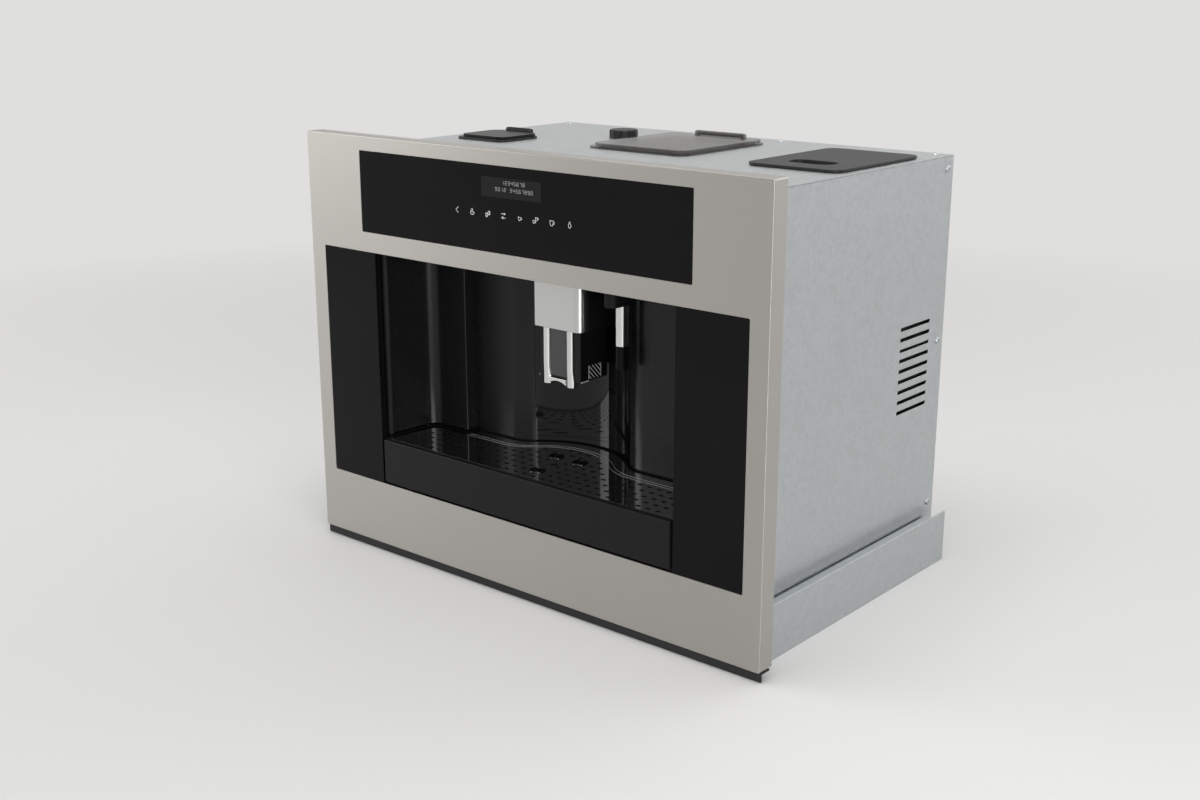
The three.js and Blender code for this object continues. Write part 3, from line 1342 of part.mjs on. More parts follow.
function buildWorks(parent) {
  const floorZ = casingBottom + panSheet + seat;

  // Vibration pump: a stepped round housing with a stub at each end, on a saddle of its own.
  const pumpLength = pumpSteps.reduce((sum, [, length]) => sum + length, 0);
  const axisZ = casingBottom + pumpAxisHeight;
  let reach = -pumpLength / 2;
  const outline = pumpSteps.flatMap(([radius, length]) => {
    const start = reach;
    reach += length;
    return [[radius, start], [radius, reach]];
  });
  const profile = [[0, -pumpLength / 2], ...outline, [0, pumpLength / 2]]
    .map(([radius, along]) => new THREE.Vector2(radius, along));
  const pumpBody = solid(new THREE.LatheGeometry(profile, 20).translate(pumpX, pumpY, axisZ));
  const saddle = block(pumpX - pumpSaddleWidth / 2, pumpX + pumpSaddleWidth / 2,
    pumpY - pumpSaddleDepth / 2, pumpY + pumpSaddleDepth / 2, floorZ, floorZ + pumpSaddleHeight);
  part(parent, 'pump', charcoal, join(pumpBody, saddle));

  // Boiler block: a grooved casting on two feet, with a pipe stub on top.
  const boilerZ = floorZ + boilerFootHeight;
  const width = boilerWidth / 2;
  const depth = boilerDepth / 2;
  const casting = block(boilerX - width, boilerX + width, boilerY - depth, boilerY + depth,
    boilerZ, boilerZ + boilerHeight);
  const pitch = boilerHeight / (boilerGrooves + 1);
  const grooves = Array.from({ length: boilerGrooves }, (_, i) => {
    const z = boilerZ + pitch * (i + 1);
    return block(boilerX - width - overlap, boilerX + width + overlap, boilerY - depth - overlap,
      boilerY - depth + boilerGrooveDepth, z - boilerGrooveWidth / 2, z + boilerGrooveWidth / 2);
  });
  const feet = [-1, 1].map((side) => {
    const x = boilerX + side * boilerFootSpacing / 2;
    return block(x - boilerFootWidth / 2, x + boilerFootWidth / 2, boilerY - depth,
      boilerY + depth, floorZ, boilerZ + overlap);
  });
  const stub = rod(boilerX, boilerY, boilerStubRadius, boilerZ,
    boilerZ + boilerHeight + boilerStubRise);
  part(parent, 'boiler', castAluminium, join(cut(casting, ...grooves), ...feet, stub));

  // Mains board on its pillars, with transformer, relay and connector blocks.
  const board = group(parent, mainsBoardX, mainsBoardY, floorZ + mainsPillarHeight);
  const boardX = mainsBoardWidth / 2;
  const boardY = mainsBoardHeight / 2;
  const pillars = [[-1, -1], [1, -1], [-1, 1], [1, 1]].map(([sx, sy]) =>
    rod(sx * (boardX - mainsPillarInset), sy * (boardY - mainsPillarInset), mainsPillarRadius,
      -mainsPillarHeight, boardThickness / 2, 10));
  const blocks = mainsBlocks.map(([x, y, sx, sy, height]) =>
    block(x - sx / 2, x + sx / 2, y - sy / 2, y + sy / 2, boardThickness / 2,
      boardThickness + height));
  part(board, 'mains_board', circuitGreen, join(
    block(-boardX, boardX, -boardY, boardY, 0, boardThickness), ...pillars, ...blocks));
}

// ---------------------------------------------------------------- mains inlet and switch

function buildInlet(parent) {
  const module = group(parent, inletX, casingBackY, inletZ);
  const flangeBack = seat + inletFlange;
  const plate = inward(rounded(0, 0, inletWidth, inletHeight, wall), seat, flangeBack);
  const bodyW = inletWidth / 2 - wall - seat;
  const bodyH = inletHeight / 2 - wall - seat;
  const body = block(-bodyW, bodyW, -inletDepth, seat + overlap, -bodyH, bodyH);

  // Appliance inlet: six-sided recess with three flat pins.
  const w = socketWidth / 2;
  const h = socketHeight / 2;
  const chamfer = socketHeight / 4;
  const socket = new THREE.Shape([
    new THREE.Vector2(socketOffset - w, -h),
    new THREE.Vector2(socketOffset + w, -h),
    new THREE.Vector2(socketOffset + w, h - chamfer),
    new THREE.Vector2(socketOffset + w - chamfer, h),
    new THREE.Vector2(socketOffset - w + chamfer, h),
    new THREE.Vector2(socketOffset - w, h - chamfer),
  ]);
  const recess = inward(socket, flangeBack - socketDepth, flangeBack + overlap);
  const pins = contacts.map(([x, z]) => block(socketOffset + x - contactWidth / 2,
    socketOffset + x + contactWidth / 2, flangeBack - socketDepth - overlap,
    flangeBack - contactSetback, z - contactHeight / 2, z + contactHeight / 2));
  const rockerHole = block(-rockerOffset - rockerWidth / 2 - slip,
    -rockerOffset + rockerWidth / 2 + slip, flangeBack - rockerPocket, flangeBack + overlap,
    -rockerHeight / 2 - slip, rockerHeight / 2 + slip);
  part(module, 'inlet_module', mattBlack, join(cut(join(plate, body), recess, rockerHole), ...pins));

  // Rocker: two faces that meet at a shallow angle, tipped to its off side.
  const rocker = group(module, -rockerOffset, flangeBack - rockerPocket / 2, 0);
  rocker.rotation.x = THREE.MathUtils.degToRad(rockerTilt);
  const reach = rockerHeight / 2 - slip;
  const slope = reach * Math.tan(THREE.MathUtils.degToRad(rockerTilt));
  const face = rockerPocket / 2 - slip;
  const profile = new THREE.Shape([
    new THREE.Vector2(0, -reach / 2),
    new THREE.Vector2(face + slope / 2, -reach),
    new THREE.Vector2(face - slope / 2, 0),
    new THREE.Vector2(face + slope / 2, reach),
    new THREE.Vector2(0, reach / 2),
    new THREE.Vector2(-hingeBarrel, 0),
  ]);
  part(rocker, 'mains_rocker', glossBlack, across(profile, -rockerWidth / 2, rockerWidth / 2));
}

// ---------------------------------------------------------------- runners and base

function channel(webX, lipX, bottom, top, gauge) {
  const side = Math.sign(lipX - webX);
  const outline = [
    [webX, bottom], [lipX, bottom], [lipX, bottom + gauge], [webX + side * gauge, bottom + gauge],
    [webX + side * gauge, top - gauge], [lipX, top - gauge], [lipX, top], [webX, top],
  ].map(([x, z]) => new THREE.Vector2(x, z));
  return new THREE.Shape(side > 0 ? outline : outline.reverse());
}

const runnerInnerX = casingHalf + seat;
const runnerOuterX = runnerInnerX + slip + runnerDepth + runnerSheet;
const runnerFront = casingFrontY + overlap;

function buildRunners(fixed, moving, middle) {
  const back = runnerFront + runnerLength;
  const runnerTop = runnerBottom + runnerHeight;
  const step = runnerSheet + slip;
  for (const [name, side] of [['left', -1], ['right', 1]]) {
    const rail = (parent, kind, webX, lipX, inset) => part(parent, `${kind}_rail_${name}`, zincSheet,
      inward(channel(side * webX, side * lipX, runnerBottom + inset, runnerTop - inset, runnerSheet),
        runnerFront, back));
    rail(fixed, 'outer', runnerOuterX, runnerInnerX + step, 0);
    rail(middle, 'middle', runnerOuterX - step, runnerInnerX + step + slip / 2, step);
    rail(moving, 'inner', runnerInnerX, runnerOuterX - 2 * step, 2 * step);
  }
}

function buildBase(parent) {
  const inside = runnerOuterX + baseSlack;
  const outside = inside + baseSheet;
  const front = runnerFront;
  const back = casingBackY;
  const tub = cut(
    block(-outside, outside, front, back, 0, baseHeight),
    block(-inside, inside, front - overlap, back + overlap, baseSheet, baseHeight + overlap),
    block(-inside + basePlateWidth, inside - basePlateWidth, front + baseStrip, back - baseStrip,
      -overlap, baseSheet + overlap),
  );
  part(parent, 'mounting_base', zincSheet, tub);
}

// ---------------------------------------------------------------- the whole machine

const machine = new THREE.Group();
machine.name = 'built_in_coffee_machine';

const niche = group(machine);
const middleRails = group(machine);
const pullOut = group(machine);

buildFront(pullOut);
buildBay(pullOut);
buildTray(pullOut);
buildSpout(pullOut);
buildWand(pullOut);
buildDoor(pullOut);
buildServiceBay(pullOut);
buildCasing(pullOut);
buildHopper(pullOut);
buildKnob(pullOut);
buildFunnel(pullOut);
buildTank(pullOut);
buildWorks(pullOut);
buildInlet(pullOut);
buildRunners(niche, pullOut, middleRails);
buildBase(niche);

// Put the origin under the middle of the machine.
const extent = new THREE.Box3().setFromObject(machine);
machine.position.y = -(extent.min.y + extent.max.y) / 2;

const whole = new THREE.Group();
whole.add(machine);

export default whole;
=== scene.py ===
"""Looks of the built-in coffee machine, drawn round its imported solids.

Shapes are drawn in millimetres with Y = 0 on the steel face, as the solids are, and placed in
metres. "Across" in a swept section is the distance to the right of the path.
"""

import json
from collections import namedtuple
from math import asin, atan, cos, degrees, hypot, pi, radians, sin

import bmesh
import bpy
from mathutils import Matrix, Vector


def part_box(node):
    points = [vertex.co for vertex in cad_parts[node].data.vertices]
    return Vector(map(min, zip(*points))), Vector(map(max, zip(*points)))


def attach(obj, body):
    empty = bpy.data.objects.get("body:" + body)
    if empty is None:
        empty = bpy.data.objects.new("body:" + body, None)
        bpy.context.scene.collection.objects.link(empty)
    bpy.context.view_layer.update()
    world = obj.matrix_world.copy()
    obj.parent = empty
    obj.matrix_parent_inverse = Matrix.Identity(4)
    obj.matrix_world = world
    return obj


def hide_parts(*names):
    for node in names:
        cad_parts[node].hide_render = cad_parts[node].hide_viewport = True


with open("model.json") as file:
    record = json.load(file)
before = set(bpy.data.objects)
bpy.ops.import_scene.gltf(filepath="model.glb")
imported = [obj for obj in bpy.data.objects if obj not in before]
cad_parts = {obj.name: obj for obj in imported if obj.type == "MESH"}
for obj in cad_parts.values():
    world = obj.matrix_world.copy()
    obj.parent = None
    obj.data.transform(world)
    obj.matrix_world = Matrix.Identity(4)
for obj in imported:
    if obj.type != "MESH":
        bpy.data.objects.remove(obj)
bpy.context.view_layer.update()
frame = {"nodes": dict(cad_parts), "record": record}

MM = 0.001
WELD = 1e-6             # metres: points nearer than this are one point
FACE = Vector((0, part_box("front_frame")[0].y, 0))
Box = namedtuple("Box", "x0 x1 y0 y1 z0 z1")


def span(node):
    """A node's box in drawing millimetres."""
    low, high = (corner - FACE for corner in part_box(node))
    return Box(*(value / MM for axis in range(3) for value in (low[axis], high[axis])))


# ------------------------------------------------------------------ driving dimensions

SEAT = 0.3              # between two pieces that touch
WALL = 2.5              # wall of every moulding
ROUND = 48              # sides of a round piece

# The bay
DRAFT = 0.09            # its side walls close in by this much per mm of depth
BAY_CORNER = 14
CUP_RADIUS = 94         # hollow behind the cups
CUP_HALF = 65
CUP_DEPTH = 127
BEND_RADIUS = 36        # bulge on either side of the hollow
CEILING_CORNER = 3      # corners of the spout's hole in the ceiling

# Service door
DOOR_Y = 75             # its face
DOOR_EDGE = 142         # its free edge
DOOR_GAP = 2.5
DOOR_CORNER = 1.2       # at the free edge
PIN_ASIDE = 1.2         # hinge pin outside the bay's side wall
PIN_BEHIND = 5.4        # hinge pin behind the bay's front
PIN_CLEAR = 2.3
BARREL = 4
RIB_RETURN = 20         # a rib's foot along the door, from the free edge
RIB_SINK = 0.1          # a rib's faces inside those of a full wall

# Printing on the glass
PRINT = 0.06            # from the glass to the face of a line
PRINT_LIFT = 0.015      # from the glass to its back
FILM = 0.03             # thickness of the display's window
FILM_LIFT = 0.0075      # from the glass to its back
ICON = 0.73             # millimetres per unit of an icon's 10-unit square
ICON_Z = 393
ICON_X = (-73.6, -52.6, -31.6, -10.6, 10.9, 31.1, 51.9, 73.6)
LINE = 0.44             # width of an icon's line
WINDOW_X = (-39.5, 38)  # display
WINDOW_Z = (410, 429)
WINDOW_CORNER = 0.8
FIGURE_WIDTH = 2.1
FIGURE_BAR = 1.6        # half a figure's height
FIGURE_PITCH = 3.85
FIGURE_LINE = 0.5
# Rows of the display: figures, left end, lower edge
DISPLAY_ROWS = (("12345678", -11.8, 423.0), ("9012 34567890", -20.8, 416.4))

# Drip tray and grid
TRAY_TRIM = 2.5         # wider joint beside the tray's left end
GRID_MARGIN = 4.3       # grid's edge inside the bay's wall
GRID_PLAY = 0.5         # more than that at the ends of the bay's back
SKIN = 0.12             # polished sheet over the grid's dark body, whose black slot walls are painted shade
RIDGE_INSET = 12
RIDGE_PITCH = 5
RIDGE_RADIUS = 0.22
RIDGE_SINK = 0.05
HOLE_PITCH = 12.2
HOLE_MARGIN = 7         # a hole's middle inside the grid's front and ends
HOLE_ROWS = 11
SLOT = (5.6, 3.9)
SLOT_CORNER = 0.9
SLOT_CLEAR = 1.1        # from a slot to the end of the field of slots
FIELD_MARGIN = 3        # plain strip before the door
DRAINS = ((3.5, 28.5, 7), (-12, 75, 7), (20.5, 74.5, 7))    # x, y, radius
FLOAT_HOLE = (3.5, 54, 3.9)
ROUND_HOLES = (*DRAINS, FLOAT_HOLE)
# A drain's rim: out from the drain's edge, up from the grid's face
RIM = ((-0.6, -0.6), (1.6, -0.6), (1.6, 0.5), (1, 1.1), (-0.1, 1.1), (-0.6, 0.6))

# Spout
COVER_CORNER = 8
COVER_SHEET = 1.2
TUBE_X = 15.8
TUBE_Y = 67
TUBE_RADIUS = 4.8
TUBE_BORE = 3
TUBE_END = 0.4          # bevel of a tube's upper end
FOOT_RADIUS = 5.7       # a tube's foot
FOOT_SHIFT = 1.5        # to the back
FOOT_HEIGHT = 6
FOOT_TAPER = 14         # height over which the foot narrows to the tube
TAPER_STEPS = 8
# Rings of a foot's mouth: height, radius, shift to the back
MOUTH = ((12, TUBE_BORE, 0), (1, TUBE_BORE, 0.6), (0, TUBE_BORE + 0.5, 0.8),
         (0, FOOT_RADIUS - 0.6, FOOT_SHIFT), (0.6, FOOT_RADIUS, FOOT_SHIFT))
CARRIAGE_PROUD = 0.5    # carriage's front before the tubes' middle
GROOVE_STEPS = 16
CARRIAGE_CORNER = 2.8
CARRIAGE_EDGE = 0.35
INSERT_GAP = 0.1        # from the tubes
INSERT_UNDER = 3        # insert's ends from the carriage's
INSERT_OVER = 1
INSERT_CORNER = 1
INSERT_SHEET = 0.9
INSERT_SINK = 0.2       # of that sheet, inside the carriage
TRIM_ACROSS = (-0.15, 0.8)          # silver strip: inner and outer face from the carriage's side
TRIM_Z = (-0.6, 0.9)                # its edges from the carriage's lower edge
TRIM_START = 330        # degrees round the carriage's corner
TRIM_GAP = 1            # from the strip's end to the grip
GRIP_FRONT = 13.5       # behind the carriage's front
GRIP_LENGTH = 18.5
GRIP_LOW = 1.6          # above the carriage's lower edge
GRIP_HEIGHT = 14
GRIP_PITCH = 5
GRIP_RIB = 0.55         # radius of a rib
GRIP_FRAME = 0.5        # radius of the bar at either end
GRIP_SINK = 0.15        # the bars' axes inside the carriage's side
BAR_SIDES = 8
BAR_TIP = 0.4           # a bar's end, as a share of its radius
SHORTEST_RIB = 1.5
BRIDGE_CROWN = 2.8      # thickness in the middle of the arch
BRIDGE_DEPTH = 3
BRIDGE_FRONT = 2.3      # bridge's middle before the tubes'
BRIDGE_REACH = 1        # into either tube
BRIDGE_CORNER = 0.7
BRIDGE_STEPS = 16

# Hot-water wand
WAND_BEVEL = 0.5
NOZZLE_BORE = 2.6
NOZZLE_DEPTH = 12       # of the bore
NOZZLE_BEVEL = 0.3      # of the bore's mouth
NOZZLE_NOSE = ((1.2, 0), (0.3, 0.5), (0, 1.4))      # lower end: in from its side, up from its tip

# Casing screws
SCREW_RADIUS = 3.6
SCREW_HEAD = ((1, -0.2), (1, 0.7), (0.9, 1.4), (0.62, 1.9))     # share of the radius, height
SCREW_CROSS = ((0.5, 0.2, 1.95), (0.42, 0.14, 1.2))     # arms' share, valleys' share, height
CROSS_FLANK = 1 / 2.6   # of the sum of those shares
SCREW_SIDES = 24
SIDE_SCREW = 12         # a screw's middle from the edges of the side covers and the rear panel
TOP_SCREW = 14          # and from the top cover's edges and the rear panel's sides
REAR_SCREW_X = 70
TOP_SCREW_X = 60

liner = span("bay_liner")
BAY_HALF = span("side_glass_right").x0
WALL_FRONT = liner.y0
ARC_Y = CUP_DEPTH - CUP_RADIUS
BEND = degrees(asin(CUP_HALF / CUP_RADIUS))
WALL_Y = ARC_Y + (CUP_RADIUS + BEND_RADIUS) * cos(radians(BEND)) - BEND_RADIUS
BEND_X = (CUP_RADIUS + BEND_RADIUS) * sin(radians(BEND))


# ------------------------------------------------------------------ outlines, in millimetres

def arc(x, y, radius, start, end, step=6):
    """Points on an arc, from one angle to another in degrees."""
    count = max(1, round(abs(end - start) / step))
    angles = (radians(start + (end - start) * i / count) for i in range(count + 1))
    return [(x + radius * cos(a), y + radius * sin(a)) for a in angles]


def full_turn(count):
    """Angles evenly round a circle."""
    return [2 * pi * i / count for i in range(count)]


def oval(x, y, across, high, count=12):
    """An oval from its middle and half its width and height, anticlockwise."""
    return [(x + across * cos(t), y + high * sin(t)) for t in full_turn(count)]


def ring(x, y, z, radius):
    """A level circle."""
    return [(px, py, z) for px, py in oval(x, y, radius, radius, ROUND)]


def round_box(x, y, width, depth, radius, step=15):
    """A rectangle with round corners, anticlockwise."""
    a = width / 2 - radius
    b = depth / 2 - radius
    corners = ((x + a, y + b), (x - a, y + b), (x - a, y - b), (x + a, y - b))
    return [point for i, corner in enumerate(corners)
            for point in arc(*corner, radius, 90 * i, 90 * i + 90, step)]


def directions(path, closed):
    """The mitred way to the right at each point of a path."""
    count = len(path)
    made = []
    for i, point in enumerate(path):
        before = path[(i - 1) % count] if closed or i else None
        after = path[(i + 1) % count] if closed or i < count - 1 else None
        into = (Vector(point) - Vector(before)).normalized() if before else None
        out = (Vector(after) - Vector(point)).normalized() if after else into
        into = into or out
        side = Vector((into.y + out.y, -into.x - out.x))
        made.append(side / (1 + into.dot(out)))
    return made


def beside(path, distance, closed=False):
    """A path moved to the right."""
    sides = directions(path, closed)
    return [(x + s.x * distance, y + s.y * distance) for (x, y), s in zip(path, sides)]


# ------------------------------------------------------------------ shapes: (points, faces)

def stack(rings, closed=False):
    """A skin over rings of equally many points, with flat ends or closed on itself."""
    count = len(rings[0])
    bands = len(rings) if closed else len(rings) - 1
    faces = []
    for r in range(bands):
        low = r * count
        high = (r + 1) % len(rings) * count
        for i in range(count):
            j = (i + 1) % count
            faces.append((low + i, low + j, high + j, high + i))
    if not closed:
        end = (len(rings) - 1) * count
        faces.append(tuple(reversed(range(count))))
        faces.append(tuple(range(end, end + count)))
    return [point for level in rings for point in level], faces


def sweep(path, section, closed=False):
    """A section of (across, z) points carried along a path in plan."""
    rings = [[(x + s.x * across, y + s.y * across, z) for across, z in section]
             for (x, y), s in zip(path, directions(path, closed))]
    return stack(rings, closed)


def wall(path, across0, across1, z0, z1, edge):
    """An upright wall with rounded edges."""
    section = round_box((across0 + across1) / 2, (z0 + z1) / 2, across1 - across0, z1 - z0, edge,
                        step=30)
    return sweep(path, section)


def prism(outline, z0, z1, edge, steps=3):
    """An upright solid on an anticlockwise outline, its upper and lower edges rounded."""
    turns = [radians(90 * i / steps) for i in range(steps + 1)]
    levels = [(edge * (1 - sin(t)), z0 + edge * (1 - cos(t))) for t in turns]
    levels += [(inset, z0 + z1 - z) for inset, z in reversed(levels)]
    return stack([[(x, y, z) for x, y in beside(outline, -inset, True)] for inset, z in levels])


def turned(profile, x, y, z=0, closed=False):
    """A round piece about Z, from (radius, height) pairs."""
    return stack([ring(x, y, z + height, radius) for radius, height in profile], closed)


def tilted(shape, axis, x, y, z):
    """A shape drawn about Z, laid along another axis and moved."""
    points, faces = shape
    turn = {"X": Matrix.Rotation(pi / 2, 3, "Y"), "-X": Matrix.Rotation(-pi / 2, 3, "Y"),
            "Y": Matrix.Rotation(-pi / 2, 3, "X"), "-Y": Matrix.Rotation(pi / 2, 3, "X"),
            "Z": Matrix.Identity(3)}[axis]
    return [tuple(turn @ Vector(p) + Vector((x, y, z))) for p in points], faces


def merged(*shapes):
    """One shape of several."""
    points = []
    faces = []
    for more_points, more_faces in shapes:
        base = len(points)
        points += more_points
        faces += [tuple(base + i for i in face) for face in more_faces]
    return points, faces


# ------------------------------------------------------------------ looks

NOISE_DETAIL = 3.0
MIX_COLORS = (6, 7)     # a Mix node's inputs for its two colours
MIX_RESULT = 2          # and its output for the mixed one


class Graph:
    """A material's nodes, with its Principled shader."""

    def __init__(self, name, color, roughness, metallic=0.0, **sockets):
        self.material = bpy.data.materials.new(name)
        self.material.use_nodes = True
        self.nodes = self.material.node_tree.nodes
        self.shader = self.nodes["Principled BSDF"]
        self.set(self.shader, **{"Base Color": (*color, 1), "Roughness": roughness,
                                 "Metallic": metallic}, **sockets)
        self.position = self.add("TexCoord").outputs["Object"]

    def set(self, node, **sockets):
        """Links or writes a node's inputs, named with _ for a space."""
        for name, value in sockets.items():
            socket = node.inputs[name.replace("_", " ")]
            if isinstance(value, bpy.types.NodeSocket):
                self.material.node_tree.links.new(value, socket)
            else:
                socket.default_value = value

    def add(self, kind, settings=None, **sockets):
        """A new node with its settings and inputs."""
        node = self.nodes.new("ShaderNode" + kind)
        for name, value in (settings or {}).items():
            setattr(node, name, value)
        self.set(node, **sockets)
        return node

    def place(self, stretch):
        """Coordinates on the object, in metres times the stretch."""
        return self.add("Mapping", Vector=self.position, Scale=stretch).outputs["Vector"]

    def noise(self, scale, stretch=(1, 1, 1)):
        node = self.add("TexNoise", Vector=self.place(stretch), Scale=scale, Detail=NOISE_DETAIL)
        return node.outputs["Fac"]

    def between(self, value, low, high, start=0.3, end=0.7):
        """From low to high, as value goes from start to end."""
        node = self.add("MapRange", Value=value, From_Min=start, From_Max=end,
                        To_Min=low, To_Max=high)
        return node.outputs["Result"]

    def tint(self, value, color, amount):
        """Colour from a little darker to a little lighter, as value goes from 0 to 1."""
        node = self.add("Mix", {"data_type": "RGBA"})
        self.material.node_tree.links.new(value, node.inputs[0])
        for socket, change in zip(MIX_COLORS, (1 - amount, 1 + amount)):
            node.inputs[socket].default_value = (*(min(1, c * change) for c in color), 1)
        return node.outputs[MIX_RESULT]

    def math(self, operation, first, second):
        node = self.add("Math", {"operation": operation})
        for socket, value in zip(node.inputs, (first, second)):
            self.material.node_tree.links.new(value, socket)
        return node.outputs["Value"]

    def bump(self, height, depth):
        """Relief of the surface, its depth in millimetres."""
        node = self.add("Bump", Height=height, Distance=depth * MM, Strength=1.0)
        self.set(self.shader, Normal=node.outputs["Normal"])


def surface(name, color, roughness, metallic=0.0, grain=900.0, stretch=(1, 1, 1), tint=0.06,
            spread=0.05, depth=0.01, mottle=12.0, **sockets):
    """A material with a fine grain in its roughness and relief, and a broad change of tone."""
    graph = Graph(name, color, roughness, metallic, **sockets)
    fine = graph.noise(grain, stretch)
    broad = graph.between(graph.noise(mottle), 0, 1)
    graph.set(graph.shader, Base_Color=graph.tint(broad, color, tint),
              Roughness=graph.between(fine, roughness - spread, roughness + spread))
    if depth:
        graph.bump(fine, depth)
    return graph


BRUSH_ACROSS = (9, 9, 5000)     # stretch of the noise for streaks along X
ZINC = (0.5, 0.52, 0.53)
MASK = (0.012, 0.07, 0.028)     # green lacquer of a circuit board

steel = surface("brushed_steel", (0.43, 0.415, 0.391), 0.38, 1.0, grain=1.0, stretch=BRUSH_ACROSS,
                tint=0.02, spread=0.04, depth=0.0008, mottle=2.0, Anisotropic=0.8,
                Anisotropic_Rotation=0.25)
satin = surface("satin_chrome", (0.58, 0.58, 0.57), 0.32, 1.0, grain=2600.0, tint=0.01,
                spread=0.02, depth=0.0005, mottle=5.0, Anisotropic=0.6,
                Anisotropic_Rotation=0.25)
bright = surface("soft_chrome", (0.68, 0.68, 0.67), 0.1, 1.0, grain=2600.0, tint=0.01,
                 spread=0.012, depth=0, mottle=8.0, Anisotropic=0.3, Anisotropic_Rotation=0.25)
polished = surface("polished_steel", (0.8, 0.795, 0.785), 0.07, 1.0, grain=90.0, tint=0.015,
                   spread=0.015, depth=0, mottle=9.0)
silver = surface("silver_trim", (0.4, 0.4, 0.4), 0.28, 0.2, grain=1800.0, tint=0.04,
                 spread=0.04, depth=0.002)
zinc = surface("galvanised_sheet", ZINC, 0.42, 1.0, grain=700.0, tint=0.06, spread=0.05,
               depth=0.003, mottle=30.0)
cast = surface("cast_aluminium", (0.55, 0.56, 0.57), 0.5, 1.0, grain=500.0, tint=0.1,
               spread=0.1, depth=0.06)
glass = surface("black_glass", (0.003, 0.003, 0.0032), 0.04, grain=60.0, tint=0.2, spread=0.01,
                depth=0, Specular_IOR_Level=0.12)
gloss = surface("gloss_black", (0.005, 0.005, 0.0055), 0.06, grain=90.0, tint=0.15, spread=0.015,
                depth=0, Specular_IOR_Level=0.24)
tip_black = surface("deep_gloss_black", (0.004, 0.004, 0.0042), 0.14, grain=300.0, tint=0.15,
                    spread=0.02, depth=0, Specular_IOR_Level=0.08)
satin_black = surface("satin_black", (0.007, 0.007, 0.0075), 0.27, grain=1400.0, tint=0.1,
                      spread=0.02, depth=0.0015, mottle=6.0, Specular_IOR_Level=0.25)
matt_black = surface("matt_black", (0.014, 0.014, 0.015), 0.5, grain=1600.0, tint=0.15,
                     spread=0.08, depth=0.02, Specular_IOR_Level=0.35)
soft_black = surface("soft_black", (0.007, 0.007, 0.0073), 0.6, grain=1600.0, tint=0.12,
                     spread=0.05, depth=0.01, Specular_IOR_Level=0.2)
joint_black = surface("joint_black", (0.003, 0.003, 0.0031), 0.7, grain=1600.0, tint=0.1,
                      spread=0.05, depth=0.01, Specular_IOR_Level=0.08)
charcoal = surface("charcoal", (0.0065, 0.0065, 0.0068), 0.36, grain=1500.0, tint=0.12,
                   spread=0.06, depth=0.01, Specular_IOR_Level=0.17)
grey = surface("grey_moulding", (0.13, 0.133, 0.137), 0.5, grain=1300.0, tint=0.08, spread=0.08,
               depth=0.02)
red = surface("red_moulding", (0.36, 0.02, 0.012), 0.4, grain=1300.0, tint=0.1, depth=0.01)
smoked = surface("smoked_clear", (0.06, 0.055, 0.05), 0.08, grain=80.0, tint=0.1, spread=0.03,
                 depth=0.002, Alpha=0.55)
clear = surface("water_clear", (0.42, 0.48, 0.5), 0.07, grain=80.0, tint=0.05, spread=0.03,
                depth=0.002, Alpha=0.4)
ink = surface("white_ink", (0.84, 0.85, 0.86), 0.5, grain=900.0, tint=0.03, depth=0)
figures = surface("display_figures", (0.33, 0.335, 0.34), 0.4, grain=900.0, tint=0.05, depth=0)
lens = surface("display_window", (0.011, 0.0115, 0.0125), 0.1, grain=500.0, tint=0.1, depth=0,
               Specular_IOR_Level=0.16)
insert = surface("carriage_insert", (0.045, 0.046, 0.048), 0.3, grain=900.0, tint=0.06,
                 spread=0.03, depth=0.002)

# Galvanised sheet: crystals of the zinc, each a little lighter or darker.
cells = zinc.add("TexVoronoi", Vector=zinc.position, Scale=220.0)
crystal = zinc.add("SeparateColor", Color=cells.outputs["Color"]).outputs[0]
zinc.set(zinc.shader, Base_Color=zinc.tint(crystal, ZINC, 0.05),
         Roughness=zinc.between(crystal, 0.4, 0.47, 0, 1))

# Circuit board: a green mask with the lines of its copper under it.
board = surface("circuit_board", MASK, 0.35, grain=900.0, depth=0.01)
tracks = board.add("TexBrick", {"offset": 0.5}, Vector=board.place((1, 1, 1)), Scale=160.0,
                   Mortar_Size=0.05, Color1=(*MASK, 1), Color2=(0.014, 0.08, 0.03, 1),
                   Mortar=(0.03, 0.16, 0.06, 1))
board.set(board.shader, Base_Color=tracks.outputs["Color"])

# Each look: its material and the material slot that it belongs to.
LOOKS = {
    "steel": (steel, "brushed_steel"), "satin": (satin, "satin_chrome"),
    "bright": (bright, "satin_chrome"), "polished": (polished, "satin_chrome"),
    "silver": (silver, "satin_chrome"), "zinc": (zinc, "zinc_sheet"),
    "cast": (cast, "cast_aluminium"), "glass": (glass, "black_glass"),
    "ink": (ink, "black_glass"), "lens": (lens, "black_glass"),
    "figures": (figures, "black_glass"), "gloss": (gloss, "gloss_black"),
    "tip": (tip_black, "gloss_black"), "satin black": (satin_black, "matt_black"),
    "soft black": (soft_black, "matt_black"), "matt black": (matt_black, "matt_black"),
    "joint black": (joint_black, "matt_black"), "charcoal": (charcoal, "charcoal"),
    "insert": (insert, "charcoal"), "grey": (grey, "grey_plastic"),
    "red": (red, "red_plastic"), "board": (board, "circuit_board"),
    "smoked": (smoked, "smoked_clear"), "clear": (clear, "water_clear"),
}


# ------------------------------------------------------------------ pieces

BODY = {node: body for body, nodes in frame["record"]["behaviour"]["bodies"].items()
        for node in nodes}
SMOOTH = 35             # degrees: a flatter edge than this is shaded round
NEVER_SHARP = 180
FLAT = 1                # degrees: faces this close to one plane are one face
BEVELLED = 40           # degrees: sharper edges than this are rounded


